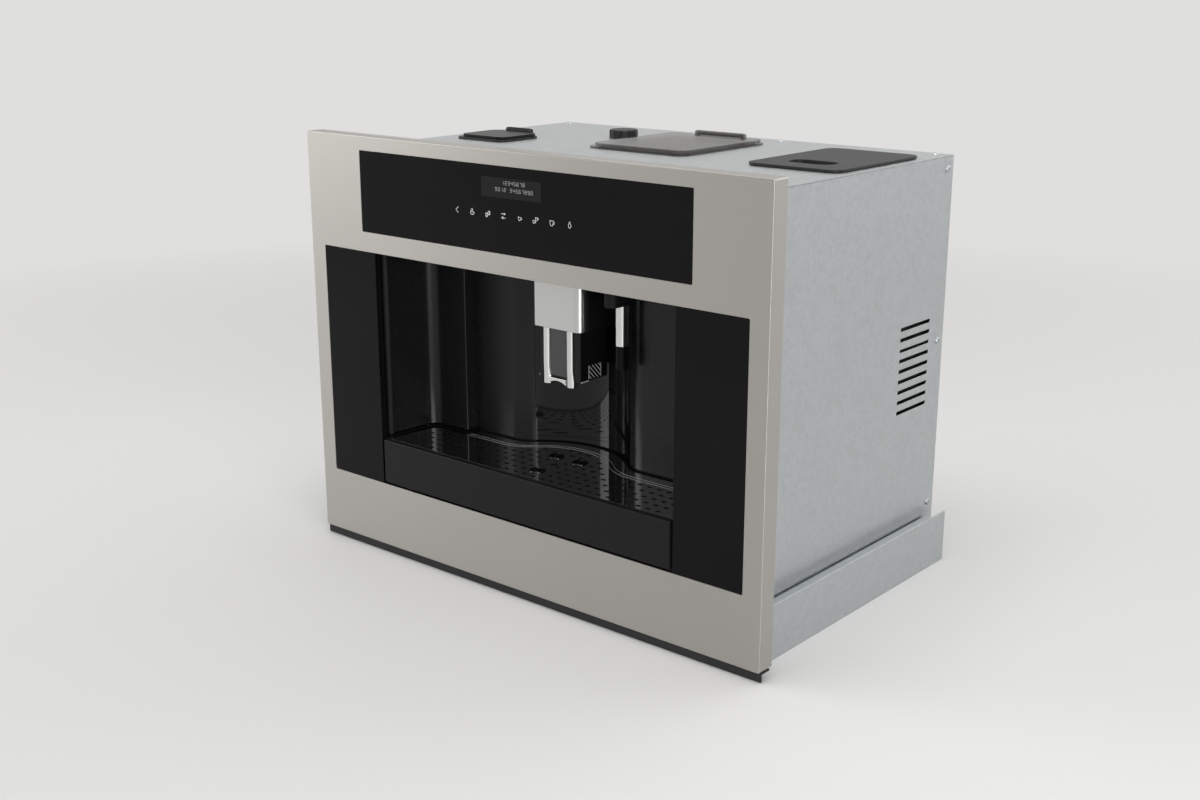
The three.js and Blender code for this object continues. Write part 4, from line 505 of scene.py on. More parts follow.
def settle(obj, look, body, nodes, sharp):
    """Shades a finished mesh, gives it its look and puts it on its body."""
    graph, slot = LOOKS[look]
    obj.data.materials.clear()
    obj.data.materials.append(graph.material)
    obj.data.shade_smooth()
    obj.data.set_sharp_from_angle(angle=radians(sharp))
    weighted = obj.modifiers.new("weighted", "WEIGHTED_NORMAL")
    weighted.keep_sharp = True
    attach(obj, body)
    if nodes:
        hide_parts(*nodes)
    return obj


def piece(name, shape, look, *nodes, body=None, sharp=SMOOTH):
    """A new piece. It stands for the nodes, if any are named, and rides on their body."""
    points, faces = shape
    mesh = bpy.data.meshes.new(name)
    mesh.from_pydata([Vector(p) * MM + FACE for p in points], [], faces)
    shaped = bmesh.new()
    shaped.from_mesh(mesh)
    bmesh.ops.remove_doubles(shaped, verts=shaped.verts, dist=WELD)
    bmesh.ops.recalc_face_normals(shaped, faces=shaped.faces)
    shaped.to_mesh(mesh)
    shaped.free()
    obj = bpy.data.objects.new(name, mesh)
    bpy.context.scene.collection.objects.link(obj)
    return settle(obj, look, body or BODY[nodes[0]], nodes, sharp)


def dress(node, look, edge, segments=2):
    """A copy of a solid with clean faces and rounded edges, which stands for it."""
    mesh = frame["nodes"][node].data.copy()
    if mesh.has_custom_normals:
        mesh.attributes.remove(mesh.attributes["custom_normal"])
    shaped = bmesh.new()
    shaped.from_mesh(mesh)
    bmesh.ops.remove_doubles(shaped, verts=shaped.verts, dist=WELD)
    bmesh.ops.dissolve_limit(shaped, angle_limit=radians(FLAT), verts=shaped.verts,
                             edges=shaped.edges)
    shaped.to_mesh(mesh)
    shaped.free()
    obj = bpy.data.objects.new(f"{node}.finished", mesh)
    bpy.context.scene.collection.objects.link(obj)
    bevel = obj.modifiers.new("edges", "BEVEL")
    bevel.width = edge * MM
    bevel.segments = segments
    bevel.limit_method = "ANGLE"
    bevel.angle_limit = radians(BEVELLED)
    return settle(obj, look, BODY[node], [node], NEVER_SHARP)


def plate(outline, holes, z0, z1, edge):
    """A plate with holes, on outlines in plan: the outline anticlockwise, as the holes are."""
    curve = bpy.data.curves.new("plate", "CURVE")
    curve.dimensions = "2D"
    curve.fill_mode = "BOTH"
    for loop in [outline] + [list(reversed(hole)) for hole in holes]:
        spline = curve.splines.new("POLY")
        spline.points.add(len(loop) - 1)
        for point, (x, y) in zip(spline.points, loop):
            point.co = (x, y, 0, 1)
        spline.use_cyclic_u = True
    curve.extrude = (z1 - z0) / 2 - edge
    curve.bevel_depth = edge
    curve.bevel_resolution = 1
    curve.offset = -edge
    obj = bpy.data.objects.new("plate", curve)
    bpy.context.scene.collection.objects.link(obj)
    ready = obj.evaluated_get(bpy.context.evaluated_depsgraph_get())
    mesh = bpy.data.meshes.new_from_object(ready)
    middle = (z0 + z1) / 2
    shape = ([(v.co.x, v.co.y, v.co.z + middle) for v in mesh.vertices],
             [tuple(f.vertices) for f in mesh.polygons])
    bpy.data.objects.remove(obj)
    bpy.data.meshes.remove(mesh)
    bpy.data.curves.remove(curve)
    return shape


# ------------------------------------------------------------------ the bay's plan

def half_at(y):
    """Half the bay's width at a depth."""
    return BAY_HALF - DRAFT * (y - WALL_FRONT)


def left_corner(face_y):
    """The left side wall and its corner, up to a back wall at a depth."""
    y = face_y - BAY_CORNER
    return [(-BAY_HALF, WALL_FRONT)] + arc(-half_at(y) + BAY_CORNER, y, BAY_CORNER,
                                           180 - degrees(atan(DRAFT)), 90)


left_bend = arc(-BEND_X, WALL_Y + BEND_RADIUS, BEND_RADIUS, -90, -90 + BEND, step=4)
hollow = arc(0, ARC_Y, CUP_RADIUS, 90 + BEND, 90 - BEND, step=3)
right_bend = arc(BEND_X, WALL_Y + BEND_RADIUS, BEND_RADIUS, -90 - BEND, -90, step=4)
right_corner = [(-x, y) for x, y in reversed(left_corner(WALL_Y))]
back_wall = left_bend + hollow[1:-1] + right_bend
whole_path = (left_corner(DOOR_Y) + [(-DOOR_EDGE, DOOR_Y), (-DOOR_EDGE, WALL_Y)] + back_wall
              + right_corner)


def bay_space(margin, front):
    """The area inside the bay's walls, less a margin, clockwise from its left front corner."""
    edge = beside(whole_path, margin)
    return [(edge[0][0], front)] + edge[1:-1] + [(edge[-1][0], front)]


def anticlockwise(outline):
    """An outline in that order, whichever way round it comes."""
    area = sum(a[0] * b[1] - b[0] * a[1] for a, b in zip(outline, outline[1:] + outline[:1]))
    return outline if area > 0 else list(reversed(outline))


# ------------------------------------------------------------------ the front

for node, look, edge in (("front_frame", "steel", 0.25), ("control_glass", "glass", 0.12),
                         ("side_glass_left", "glass", 0.12), ("side_glass_right", "glass", 0.12),
                         ("lower_trim", "matt black", 0.4), ("front_carrier", "joint black", 0.3)):
    dress(node, look, edge)

GLASS_FRONT = span("control_glass").y0


def stroke(points, width=LINE, closed=False):
    """A printed line on the glass, through points in X and Z."""
    face = GLASS_FRONT - PRINT
    back = GLASS_FRONT - PRINT_LIFT
    section = [(-width / 2, face), (width / 2, face), (width / 2, back), (-width / 2, back)]
    made, faces = sweep(points, section, closed)
    return [(x, z, y) for x, y, z in made], faces


def cup(x, y, width, height):
    """Line work of a cup: bowl, then handle."""
    bowl = [(x, y + height), (x + 0.1 * width, y + 0.3 * height), (x + 0.3 * width, y),
            (x + 0.7 * width, y), (x + 0.9 * width, y + 0.3 * height), (x + width, y + height)]
    handle = [(x + 0.97 * width, y + 0.8 * height), (x + 1.25 * width, y + 0.75 * height),
              (x + 1.2 * width, y + 0.35 * height), (x + 0.9 * width, y + 0.3 * height)]
    return [(bowl, True), (handle, False)]


def steam(x, y):
    """A wisp over a cup, from its foot."""
    return [([(x, y), (x - 0.5, y + 0.9), (x + 0.4, y + 1.7), (x, y + 2.6)], False)]


# Eight signs on squares of 10 units, each a list of lines: points, and whether they close.
ICONS = (
    [([(7.5, 9), (3, 5), (7.5, 1)], False)],
    cup(1.8, 1, 5.4, 4.4) + steam(3.4, 6.6) + steam(5.8, 6.6),
    [(oval(3, 3.4, 2, 2.6), True), (oval(7.4, 6.2, 2, 2.6), True),
     ([(3, 1.2), (3.4, 3.4), (3, 5.6)], False), ([(7.4, 4), (7.8, 6.2), (7.4, 8.4)], False)],
    [([(1, 7.6), (9, 7.6)], False), ([(1, 2.4), (9, 2.4)], False),
     (oval(6.6, 7.6, 1.2, 1.2, 8), True), (oval(3.4, 2.4, 1.2, 1.2, 8), True)],
    cup(2, 2.2, 4.8, 4),
    cup(0, 1, 4, 3.6) + cup(4.6, 5, 4, 3.6),
    cup(1, 1, 6, 6.4),
    [([(5, 9.4), (7, 5.6), (7.2, 3.2), (5, 1.2), (2.8, 3.2), (3, 5.6)], True)],
)
marks = []
for icon_x, lines in zip(ICON_X, ICONS):
    for points, closed in lines:
        placed = [(icon_x + (x - 5) * ICON, ICON_Z + (z - 5) * ICON) for x, z in points]
        marks.append(stroke(placed, closed=closed))
piece("touch_icons", merged(*marks), "ink", body="machine")

# Display: a slightly lighter window with two rows of small figures.
window = round_box(sum(WINDOW_X) / 2, sum(WINDOW_Z) / 2, WINDOW_X[1] - WINDOW_X[0],
                   WINDOW_Z[1] - WINDOW_Z[0], WINDOW_CORNER)
points, faces = prism(window, 0, FILM, edge=0.01, steps=1)
piece("display_window", ([(x, GLASS_FRONT - FILM_LIFT - z, y) for x, y, z in points], faces),
      "lens", body="machine")

# Figures in seven straight bars: top, middle, bottom, upper and lower left, upper and lower right.
BARS = {"top": ((0, 2), (1, 2)), "middle": ((0, 1), (1, 1)), "bottom": ((0, 0), (1, 0)),
        "upper left": ((0, 2), (0, 1)), "lower left": ((0, 1), (0, 0)),
        "upper right": ((1, 2), (1, 1)), "lower right": ((1, 1), (1, 0))}
UNLIT = {"0": {"middle"}, "1": {"top", "middle", "bottom", "upper left", "lower left"},
         "2": {"upper left", "lower right"}, "3": {"upper left", "lower left"},
         "4": {"top", "bottom", "lower left"}, "5": {"upper right", "lower left"},
         "6": {"upper right"}, "7": {"middle", "bottom", "upper left", "lower left"},
         "8": set(), "9": {"lower left"}, " ": set(BARS)}
figure_bars = []
for text, left, low in DISPLAY_ROWS:
    for place, character in enumerate(text):
        x = left + place * FIGURE_PITCH
        for name, ends in BARS.items():
            if name not in UNLIT[character]:
                line = [(x + a * FIGURE_WIDTH, low + b * FIGURE_BAR) for a, b in ends]
                figure_bars.append(stroke(line, FIGURE_LINE))
piece("display_figures", merged(*figure_bars), "figures", body="machine")


# ------------------------------------------------------------------ the dispensing bay

spout_head = span("spout_head")
cover = span("spout_shell")
roof = liner.z1
ceiling = roof - WALL
bay_floor = liner.z0
right_of_door = -DOOR_EDGE + DOOR_GAP
bay_walls = merged(
    wall([(right_of_door, WALL_Y)] + left_bend, -WALL, 0, bay_floor, roof, edge=0.8),
    wall(right_bend + right_corner[1:], -WALL, 0, bay_floor, roof, edge=0.8),
)
piece("bay_walls", bay_walls, "satin black", "bay_liner")
ceiling_outline = [(-BAY_HALF, WALL_FRONT), (BAY_HALF, WALL_FRONT), (BAY_HALF, liner.y1),
                   (right_of_door, liner.y1), (right_of_door, WALL_Y - WALL),
                   (-BAY_HALF, WALL_Y - WALL)]
spout_hole = round_box(0, (cover.y0 + spout_head.y1) / 2, 2 * (cover.x1 + SEAT),
                       spout_head.y1 - cover.y0 + 2 * SEAT, CEILING_CORNER)
piece("bay_ceiling", plate(ceiling_outline, [spout_hole], ceiling, roof, edge=0.4), "satin black",
      body="machine")
panel_gap = degrees(SEAT / CUP_RADIUS)
panel_path = arc(0, ARC_Y, CUP_RADIUS, 90 + BEND - panel_gap, 90 - BEND + panel_gap, step=2.5)
piece("cup_panel_gloss", wall(panel_path, -WALL, 0, bay_floor, ceiling - SEAT, edge=0.6), "gloss",
      "cup_panel")
dress("tray_bay", "joint black", 0.5)


# ------------------------------------------------------------------ drip tray and grid

tray_face = dress("tray_front", "charcoal", 0.35)
left_end = span("tray_front").x0 + TRAY_TRIM
for vertex in tray_face.data.vertices:
    if vertex.co.x / MM < left_end:
        vertex.co.x += TRAY_TRIM * MM
dress("tray_basin", "soft black", 0.3)
dress("tray_float", "red", 0.2)

grid = span("drip_grid")
grid_top = span("tray_basin").z1 + SEAT
grid_front = grid.y0
side_x = half_at(WALL_Y) - GRID_MARGIN - GRID_PLAY
step_x = -DOOR_EDGE + GRID_MARGIN + GRID_PLAY
before_door = DOOR_Y - GRID_MARGIN - FIELD_MARGIN
wall_line = [(step_x, WALL_Y)] + back_wall + [(side_x, WALL_Y)]
ridge_paths = [beside(wall_line, GRID_MARGIN + RIDGE_INSET + i * RIDGE_PITCH) for i in (0, 1)]
field = ([(-side_x, grid_front), (-side_x, before_door), (step_x, before_door)] + ridge_paths[1]
         + [(side_x, grid_front)])


def inside(x, y, outline):
    """Whether a point lies in an outline."""
    within = False
    for (ax, ay), (bx, by) in zip(outline, outline[1:] + outline[:1]):
        if (ay > y) != (by > y) and x < (bx - ax) * (y - ay) / (by - ay) + ax:
            within = not within
    return within


def slot_fits(x, y):
    """Whether a slot lies in the field of slots and clear of the drains."""
    reach_x = SLOT[0] / 2 + SLOT_CLEAR
    reach_y = SLOT[1] / 2 + SLOT_CLEAR
    corners = [(x + side * reach_x, y + end * reach_y) for side in (-1, 1) for end in (-1, 1)]
    return (all(hypot(x - cx, y - cy) > r + SLOT[0] for cx, cy, r in ROUND_HOLES)
            and all(inside(*corner, field) for corner in corners))


holes = [oval(x, y, radius, radius, count=24) for x, y, radius in ROUND_HOLES]
columns = int((side_x - HOLE_MARGIN) / HOLE_PITCH)
for row in range(HOLE_ROWS):
    for column in range(-columns, columns + 1):
        x = column * HOLE_PITCH
        y = grid_front + HOLE_MARGIN + row * HOLE_PITCH
        if slot_fits(x, y):
            holes.append(round_box(x, y, *SLOT, SLOT_CORNER, step=30))
outline = anticlockwise(bay_space(GRID_MARGIN, grid_front))
piece("grid_plate", plate(outline, holes, grid_top - SKIN, grid_top, edge=0), "polished",
      "drip_grid")
# The grid's dark body under the sheet: its black walls in the slots are painted shade, so that the
# slots look dark.
piece("grid_body_and_slot_shade", plate(outline, holes, grid.z0, grid_top - SKIN, edge=0.1), "soft black",
      body="drip_grid")
ridge = arc(RIDGE_RADIUS, grid_top - RIDGE_SINK, RIDGE_RADIUS, 0, 180, step=30)
piece("grid_ridges", merged(*(sweep(path, ridge) for path in ridge_paths)), "silver",
      body="drip_grid")
rims = [turned([(radius + out, up) for out, up in RIM], x, y, grid_top, closed=True)
        for x, y, radius in DRAINS]
piece("drain_rims", merged(*rims), "gloss", body="drip_grid")


# ------------------------------------------------------------------ spout

corner_x = cover.x1 - COVER_CORNER
corner_y = cover.y0 + COVER_CORNER
cover_path = ([(cover.x1, cover.y1)] + arc(corner_x, corner_y, COVER_CORNER, 0, -90, step=7.5)
              + arc(-corner_x, corner_y, COVER_CORNER, -90, -180, step=7.5)
              + [(-cover.x1, cover.y1)])
piece("spout_cover", wall(cover_path, 0, COVER_SHEET, cover.z0, cover.z1, edge=0.55), "satin",
      "spout_shell")
dress("spout_head", "satin black", 0.5)

carriage = span("spout_carriage")
tube = span("spout_tube_left")
carriage_half = carriage.x1
carriage_front = TUBE_Y - CARRIAGE_PROUD
taper_heights = [tube.z0 + FOOT_HEIGHT + FOOT_TAPER * i / TAPER_STEPS
                 for i in range(TAPER_STEPS + 1)]


def tube_at(z):
    """A tube's radius and how far it is shifted back, at a height."""
    along = min(1, max(0, (z - tube.z0 - FOOT_HEIGHT) / FOOT_TAPER))
    ease = (1 - cos(pi * along)) / 2
    return FOOT_RADIUS + (TUBE_RADIUS - FOOT_RADIUS) * ease, FOOT_SHIFT * (1 - ease)


def carriage_ring(z, inset):
    """The carriage's outline at a height, with its grooves round the tubes."""
    radius, shift = tube_at(z)
    radius += SEAT
    y = TUBE_Y + shift
    dip = degrees(asin((y - carriage_front) / radius))
    groove_step = (180 + 2 * dip) / GROOVE_STEPS
    x0 = carriage_half - CARRIAGE_CORNER
    y0 = carriage_front + CARRIAGE_CORNER
    y1 = carriage.y1 - CARRIAGE_CORNER
    path = arc(-x0, y0, CARRIAGE_CORNER, 180, 270, step=15)
    for x in (-TUBE_X, TUBE_X):
        path += arc(x, y, radius, 180 + dip, -dip, groove_step)
    path += (arc(x0, y0, CARRIAGE_CORNER, 270, 360, step=15)
             + arc(x0, y1, CARRIAGE_CORNER, 0, 90, step=15)
             + arc(-x0, y1, CARRIAGE_CORNER, 90, 180, step=15))
    return [(x, y, z) for x, y in beside(path, -inset, True)]


levels = [(carriage.z0, CARRIAGE_EDGE), (carriage.z0 + 0.3 * CARRIAGE_EDGE, 0.3 * CARRIAGE_EDGE),
          (carriage.z0 + CARRIAGE_EDGE, 0)]
levels += [(z, 0) for z in taper_heights[1:]]
levels += [(carriage.z1 - CARRIAGE_EDGE, 0), (carriage.z1, CARRIAGE_EDGE)]
piece("carriage_body", stack([carriage_ring(z, inset) for z, inset in levels]), "gloss",
      "spout_carriage")
insert_width = 2 * (TUBE_X - TUBE_RADIUS - INSERT_GAP)
insert_low = carriage.z0 + INSERT_UNDER
insert_high = carriage.z1 - INSERT_OVER
panel = prism(round_box(0, 0, insert_width, insert_high - insert_low, INSERT_CORNER), 0,
              INSERT_SHEET, edge=0.25)
piece("carriage_insert", tilted(panel, "-Y", 0, carriage_front + INSERT_SINK,
                                (insert_low + insert_high) / 2), "insert",
      body="spout_carriage")

# Silver strip under the carriage's corners: a trim that also stands in for the highlight along the
# carriage's lower edge, so it is partly a painted highlight.
strip = (arc(carriage_half - CARRIAGE_CORNER, carriage_front + CARRIAGE_CORNER, CARRIAGE_CORNER,
             TRIM_START, 360, step=15)
         + [(carriage_half, carriage_front + GRIP_FRONT - TRIM_GAP)])
trim_and_highlight_bands = [wall([(side * x, y) for x, y in strip][::side], *TRIM_ACROSS,
              *(carriage.z0 + z for z in TRIM_Z), edge=0.3) for side in (1, -1)]
piece("carriage_trim_and_highlight", merged(*trim_and_highlight_bands), "silver", body="spout_carriage")


def bar_between(start, end, radius):
    """A round bar between two points, with bevelled ends."""
    start = Vector(start)
    end = Vector(end)
    along = (end - start).normalized()
    across = along.orthogonal().normalized()
    over = along.cross(across)
    bevel = along * radius * (1 - BAR_TIP)
    rings = [[tuple(point + (across * cos(t) + over * sin(t)) * size) for t in full_turn(BAR_SIDES)]
             for point, size in ((start, radius * BAR_TIP), (start + bevel, radius),
                                 (end - bevel, radius), (end, radius * BAR_TIP))]
    return stack(rings)


# Grips on the carriage's sides: slanted ribs between two upright bars.
grip_y = (carriage_front + GRIP_FRONT, carriage_front + GRIP_FRONT + GRIP_LENGTH)
grip_z = (carriage.z0 + GRIP_LOW, carriage.z0 + GRIP_LOW + GRIP_HEIGHT)
bars = []
for x in (carriage_half - GRIP_SINK, -carriage_half + GRIP_SINK):
    for i in range(-int(GRIP_HEIGHT / GRIP_PITCH), int(GRIP_LENGTH / GRIP_PITCH) + 1):
        y = grip_y[0] + max(0, i * GRIP_PITCH)
        z = grip_z[1] + min(0, i * GRIP_PITCH)
        length = min(grip_y[1] - y, z - grip_z[0])
        if length > SHORTEST_RIB:
            bars.append(bar_between((x, y, z), (x, y + length, z - length), GRIP_RIB))
    for y in grip_y:
        bars.append(bar_between((x, y, grip_z[0]), (x, y, grip_z[1]), GRIP_FRAME))
piece("grip_ribs", merged(*bars), "silver", body="spout_carriage")

for name, side in (("left", -1), ("right", 1)):
    rings = [(tube.z0 + height, radius, shift) for height, radius, shift in MOUTH]
    rings += [(z, *tube_at(z)) for z in taper_heights]
    rings += [(tube.z1 - TUBE_END, TUBE_RADIUS, 0), (tube.z1, TUBE_RADIUS - TUBE_END, 0),
              (tube.z1, TUBE_BORE, 0)]
    shape = stack([ring(side * TUBE_X, TUBE_Y + shift, z, radius) for z, radius, shift in rings],
                  closed=True)
    piece(f"tube_{name}", shape, "bright", f"spout_tube_{name}")

bridge = span("spout_bridge")
arch = bridge.z1 - bridge.z0 - BRIDGE_CROWN
rings = []
for i in range(BRIDGE_STEPS + 1):
    t = 2 * i / BRIDGE_STEPS - 1
    under = bridge.z0 + arch * (1 - t * t)
    section = round_box(TUBE_Y - BRIDGE_FRONT, (under + bridge.z1) / 2, BRIDGE_DEPTH,
                        bridge.z1 - under, BRIDGE_CORNER, step=30)
    rings.append([(t * (bridge.x1 + BRIDGE_REACH), y, z) for y, z in section])
piece("tube_bridge", stack(rings), "bright", "spout_bridge")


# ------------------------------------------------------------------ hot-water wand

dress("wand_socket", "soft black", 0.5)
dress("wand_arm", "soft black", 0.9, 3)
sleeve = span("wand_sleeve")
tip = span("wand_tip")
wand_x = (sleeve.x0 + sleeve.x1) / 2
wand_y = (sleeve.y0 + sleeve.y1) / 2
wand_radius = (sleeve.x1 - sleeve.x0) / 2
bevelled = wand_radius - WAND_BEVEL
piece("wand_tube", turned([(0, sleeve.z0), (bevelled, sleeve.z0),
                           (wand_radius, sleeve.z0 + WAND_BEVEL),
                           (wand_radius, sleeve.z1 - WAND_BEVEL), (bevelled, sleeve.z1),
                           (0, sleeve.z1)], wand_x, wand_y), "bright", "wand_sleeve")
mouth = (NOZZLE_BORE, tip.z0 + NOZZLE_BEVEL)
bore_end = tip.z1 - NOZZLE_DEPTH
nozzle = ([mouth, (NOZZLE_BORE + NOZZLE_BEVEL, tip.z0)]
          + [(wand_radius - inward, tip.z0 + up) for inward, up in NOZZLE_NOSE]
          + [(wand_radius, tip.z1 - WAND_BEVEL), (bevelled, tip.z1), (0, tip.z1), (0, bore_end),
             (NOZZLE_BORE, bore_end), mouth])
piece("wand_nozzle", turned(nozzle, wand_x, wand_y), "tip", "wand_tip")


# ------------------------------------------------------------------ service door

door = span("service_door")
pin_x = -BAY_HALF - PIN_ASIDE
pin_y = WALL_FRONT + PIN_BEHIND
pin_side = -half_at(pin_y)
door_bend = left_corner(DOOR_Y)[1:]
door_path = ([(pin_side, pin_y)] + door_bend
             + arc(-DOOR_EDGE - DOOR_CORNER, DOOR_Y + DOOR_CORNER, DOOR_CORNER, -90, 0, step=30)
             + [(-DOOR_EDGE, WALL_Y - SEAT)])
barrel = turned([(PIN_CLEAR, door.z0), (BARREL, door.z0), (BARREL, door.z1), (PIN_CLEAR, door.z1)],
                pin_x, pin_y, closed=True)
piece("door_skin", wall(door_path, -WALL, 0, door.z0, door.z1, edge=0.6), "satin black",
      "service_door")
piece("door_barrel", barrel, "soft black", body="service_door")
rib = ([(pin_side - WALL / 2, pin_y + BARREL)] + beside(door_bend, -WALL / 2)
       + [(-DOOR_EDGE - WALL / 2, DOOR_Y + WALL / 2), (-DOOR_EDGE - WALL / 2, DOOR_Y + 2 * WALL),
          (-DOOR_EDGE - RIB_RETURN, DOOR_Y + 2 * WALL)]
       + list(reversed(beside(door_bend, -2 * WALL))) + [(pin_side - 2 * WALL, pin_y + BARREL)])
rib_levels = (door.z0, (door.z0 + door.z1) / 2, door.z1 - WALL)
door_ribs = [prism(anticlockwise(rib), z + RIB_SINK, z + WALL - RIB_SINK, edge=0.2, steps=1)
             for z in rib_levels]
piece("door_ribs", merged(*door_ribs), "matt black", body="service_door")


# ------------------------------------------------------------------ casing and what is behind it

for node, look, edge in (
        ("service_bay", "charcoal", 0.5), ("grounds_container", "charcoal", 0.5),
        ("brew_frame", "charcoal", 0.8), ("brew_chamber", "grey", 0.5),
        ("brew_piston", "matt black", 0.5), ("base_pan", "zinc", 0.3),
        ("side_cover_left", "zinc", 0.25), ("side_cover_right", "zinc", 0.25),
        ("rear_panel", "zinc", 0.25), ("top_cover", "zinc", 0.25), ("inner_frame", "zinc", 0.3),
        ("bean_hopper", "smoked", 0.4), ("bean_lid", "smoked", 0.5), ("grinder", "charcoal", 0.6),
        ("grind_knob", "matt black", 0.3), ("powder_funnel", "matt black", 0.4),
        ("powder_lid", "charcoal", 0.5), ("water_tank", "clear", 0.4), ("tank_lid", "matt black", 0.5),
        ("tank_seat", "matt black", 0.5), ("inlet_module", "matt black", 0.3),
        ("mains_rocker", "gloss", 0.3), ("mounting_base", "zinc", 0.4)):
    dress(node, look, edge)
for side in ("left", "right"):
    for member in ("inner", "middle", "outer"):
        dress(f"{member}_rail_{side}", "zinc", 0.3)

for node, look in (("touch_board", "board"), ("display_module", "grey"), ("door_pin", "soft black"),
                   ("pump", "charcoal"), ("boiler", "cast"), ("mains_board", "board")):
    frame["nodes"][node].data.materials.clear()
    frame["nodes"][node].data.materials.append(LOOKS[look][0].material)


def screw(axis, x, y, z):
    """A pan head with a cross recess, standing on the surface at a point."""
    levels = [([share] * SCREW_SIDES, height) for share, height in SCREW_HEAD]
    for arm, valley, height in SCREW_CROSS:
        flank = (arm + valley) * CROSS_FLANK
        levels.append(([arm, flank, flank, valley, flank, flank] * 4, height))
    turns = full_turn(SCREW_SIDES)
    rings = [[(SCREW_RADIUS * share * cos(t), SCREW_RADIUS * share * sin(t), height)
              for share, t in zip(shares, turns)] for shares, height in levels]
    return tilted(stack(rings), axis, x, y, z)


casing = span("side_cover_right")
rear = span("rear_panel")
top = span("top_cover")
screws = []
for axis, side in (("X", 1), ("-X", -1)):
    for z in (casing.z0 + SIDE_SCREW, (casing.z0 + casing.z1) / 2, casing.z1 - SIDE_SCREW):
        for y in (casing.y0 + SIDE_SCREW, casing.y1 - SIDE_SCREW):
            screws.append(screw(axis, side * casing.x1, y, z))
for x in (rear.x0 + TOP_SCREW, -REAR_SCREW_X, REAR_SCREW_X, rear.x1 - TOP_SCREW):
    for z in (rear.z0 + SIDE_SCREW, rear.z1 - SIDE_SCREW):
        screws.append(screw("Y", x, rear.y1, z))
for x in (top.x0 + TOP_SCREW, -TOP_SCREW_X, TOP_SCREW_X, top.x1 - TOP_SCREW):
    for y in (top.y0 + TOP_SCREW, top.y1 - TOP_SCREW):
        screws.append(screw("Z", x, y, top.z1))
piece("casing_screws", merged(*screws), "zinc", body="machine", sharp=50)


# ------------------------------------------------------------------ floor, light and camera

GROUND = (0.74, 0.735, 0.725)
NEAR = 0.9              # metres: up to here the floor as it is, with the object's shadow
FAR = 2.1               # metres: from here on a plain ground of one tone
FLOOR_REACH = 40        # metres
SKY = (0.92, 0.92, 0.915)
SKY_STRENGTH = 0.47
LAMPS = (               # place, target and size in metres, power in watts
    ("key", (-2.3, -1.35, 1.25), (0, -0.1, 0.25), (1.6, 1.8), 20),
    ("right", (1.85, -1.3, 0.58), (0, -0.15, 0.3), (1.3, 1.05), 25),
    ("top", (0.1, -0.4, 2.5), (0, -0.1, 0), (1.5, 1.5), 24),
    ("back", (0.9, 1.9, 1.4), (0, 0.1, 0.2), (2.2, 1.9), 14),
)
CAMERA_AZIMUTH = 40.2236
CAMERA_ELEVATION = 15.9787
CAMERA_PLACE = (985.68, -1034.96, 620.66)
CAMERA_LENS = 45.248
CAMERA_SENSOR = 36


def seen_directly(tree):
    """1 for the rays that show the background, 0 for those that light the object."""
    rays = tree.nodes.new("ShaderNodeLightPath").outputs
    value = rays["Is Camera Ray"]
    for name in ("Is Glossy Ray", "Is Transmission Ray"):
        either = tree.nodes.new("ShaderNodeMath")
        either.operation = "MAXIMUM"
        tree.links.new(value, either.inputs[0])
        tree.links.new(rays[name], either.inputs[1])
        value = either.outputs["Value"]
    return value


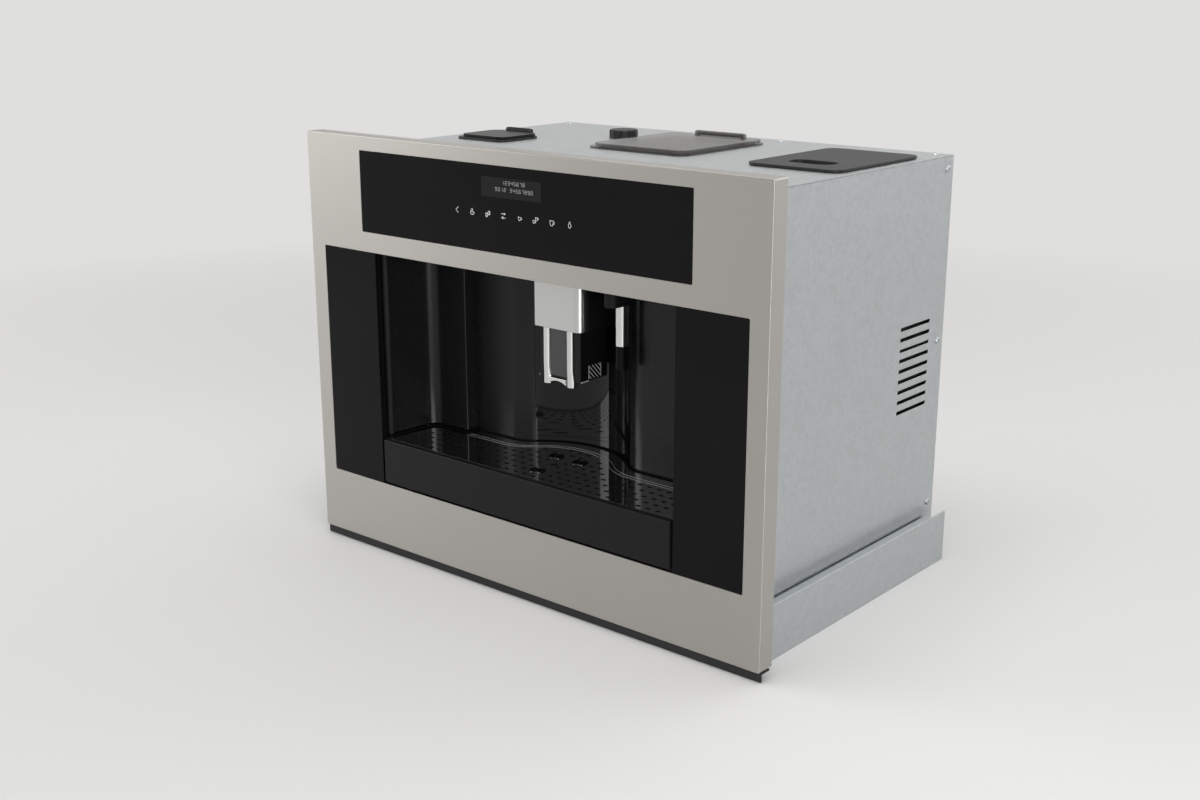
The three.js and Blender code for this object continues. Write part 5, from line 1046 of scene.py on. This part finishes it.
def stage_floor():
    """A pale floor that goes over into the ground's plain tone far from the object."""
    graph = Graph("pale_floor", GROUND, 0.6)
    graph.set(graph.shader, Specular_IOR_Level=0.2,
              Base_Color=graph.tint(graph.noise(1.5), GROUND, 0.015))
    away = graph.add("VectorMath", {"operation": "LENGTH"}, Vector=graph.position)
    share = graph.math("MULTIPLY", seen_directly(graph.material.node_tree),
                       graph.between(away.outputs["Value"], 0, 1, NEAR, FAR))
    ground = graph.add("Emission", Color=(*GROUND, 1))
    mix = graph.add("MixShader", Fac=share)
    links = graph.material.node_tree.links
    links.new(graph.shader.outputs["BSDF"], mix.inputs[1])
    links.new(ground.outputs["Emission"], mix.inputs[2])
    graph.set(graph.nodes["Material Output"], Surface=mix.outputs["Shader"])
    mesh = bpy.data.meshes.new("floor")
    corners = [(x * FLOOR_REACH, y * FLOOR_REACH, 0) for x, y in
               ((-1, -1), (1, -1), (1, 1), (-1, 1))]
    mesh.from_pydata(corners, [], [(0, 1, 2, 3)])
    mesh.materials.append(graph.material)
    floor = bpy.data.objects.new("floor", mesh)
    bpy.context.scene.collection.objects.link(floor)


def lamp(name, place, target, size, power):
    """A soft box that faces a point and doesn't show itself."""
    light = bpy.data.lights.new(name, "AREA")
    light.shape = "RECTANGLE"
    light.size, light.size_y = size
    light.energy = power
    obj = bpy.data.objects.new(name, light)
    obj.location = place
    obj.rotation_euler = (Vector(target) - Vector(place)).to_track_quat("-Z", "Y").to_euler()
    obj.visible_camera = False
    bpy.context.scene.collection.objects.link(obj)


def studio_world():
    """Even light from all round, and the ground's tone behind the object."""
    world = bpy.data.worlds.new("studio")
    bpy.context.scene.world = world
    world.use_nodes = True
    tree = world.node_tree
    light = tree.nodes["Background"]
    light.inputs["Color"].default_value = (*SKY, 1)
    light.inputs["Strength"].default_value = SKY_STRENGTH
    backdrop = tree.nodes.new("ShaderNodeBackground")
    backdrop.inputs["Color"].default_value = (*GROUND, 1)
    mix = tree.nodes.new("ShaderNodeMixShader")
    tree.links.new(seen_directly(tree), mix.inputs["Fac"])
    tree.links.new(light.outputs["Background"], mix.inputs[1])
    tree.links.new(backdrop.outputs["Background"], mix.inputs[2])
    tree.links.new(mix.outputs["Shader"], tree.nodes["World Output"].inputs["Surface"])


def photo_camera():
    """The photograph's view of the object."""
    data = bpy.data.cameras.new("camera")
    data.lens = CAMERA_LENS
    data.sensor_width = CAMERA_SENSOR
    camera = bpy.data.objects.new("camera", data)
    camera.location = Vector(CAMERA_PLACE) * MM + FACE
    camera.rotation_euler = (radians(90 - CAMERA_ELEVATION), 0, radians(CAMERA_AZIMUTH))
    bpy.context.scene.collection.objects.link(camera)
    bpy.context.scene.camera = camera


stage_floor()
for lamp_facts in LAMPS:
    lamp(*lamp_facts)
studio_world()
photo_camera()
bpy.context.scene.view_settings.view_transform = "Standard"
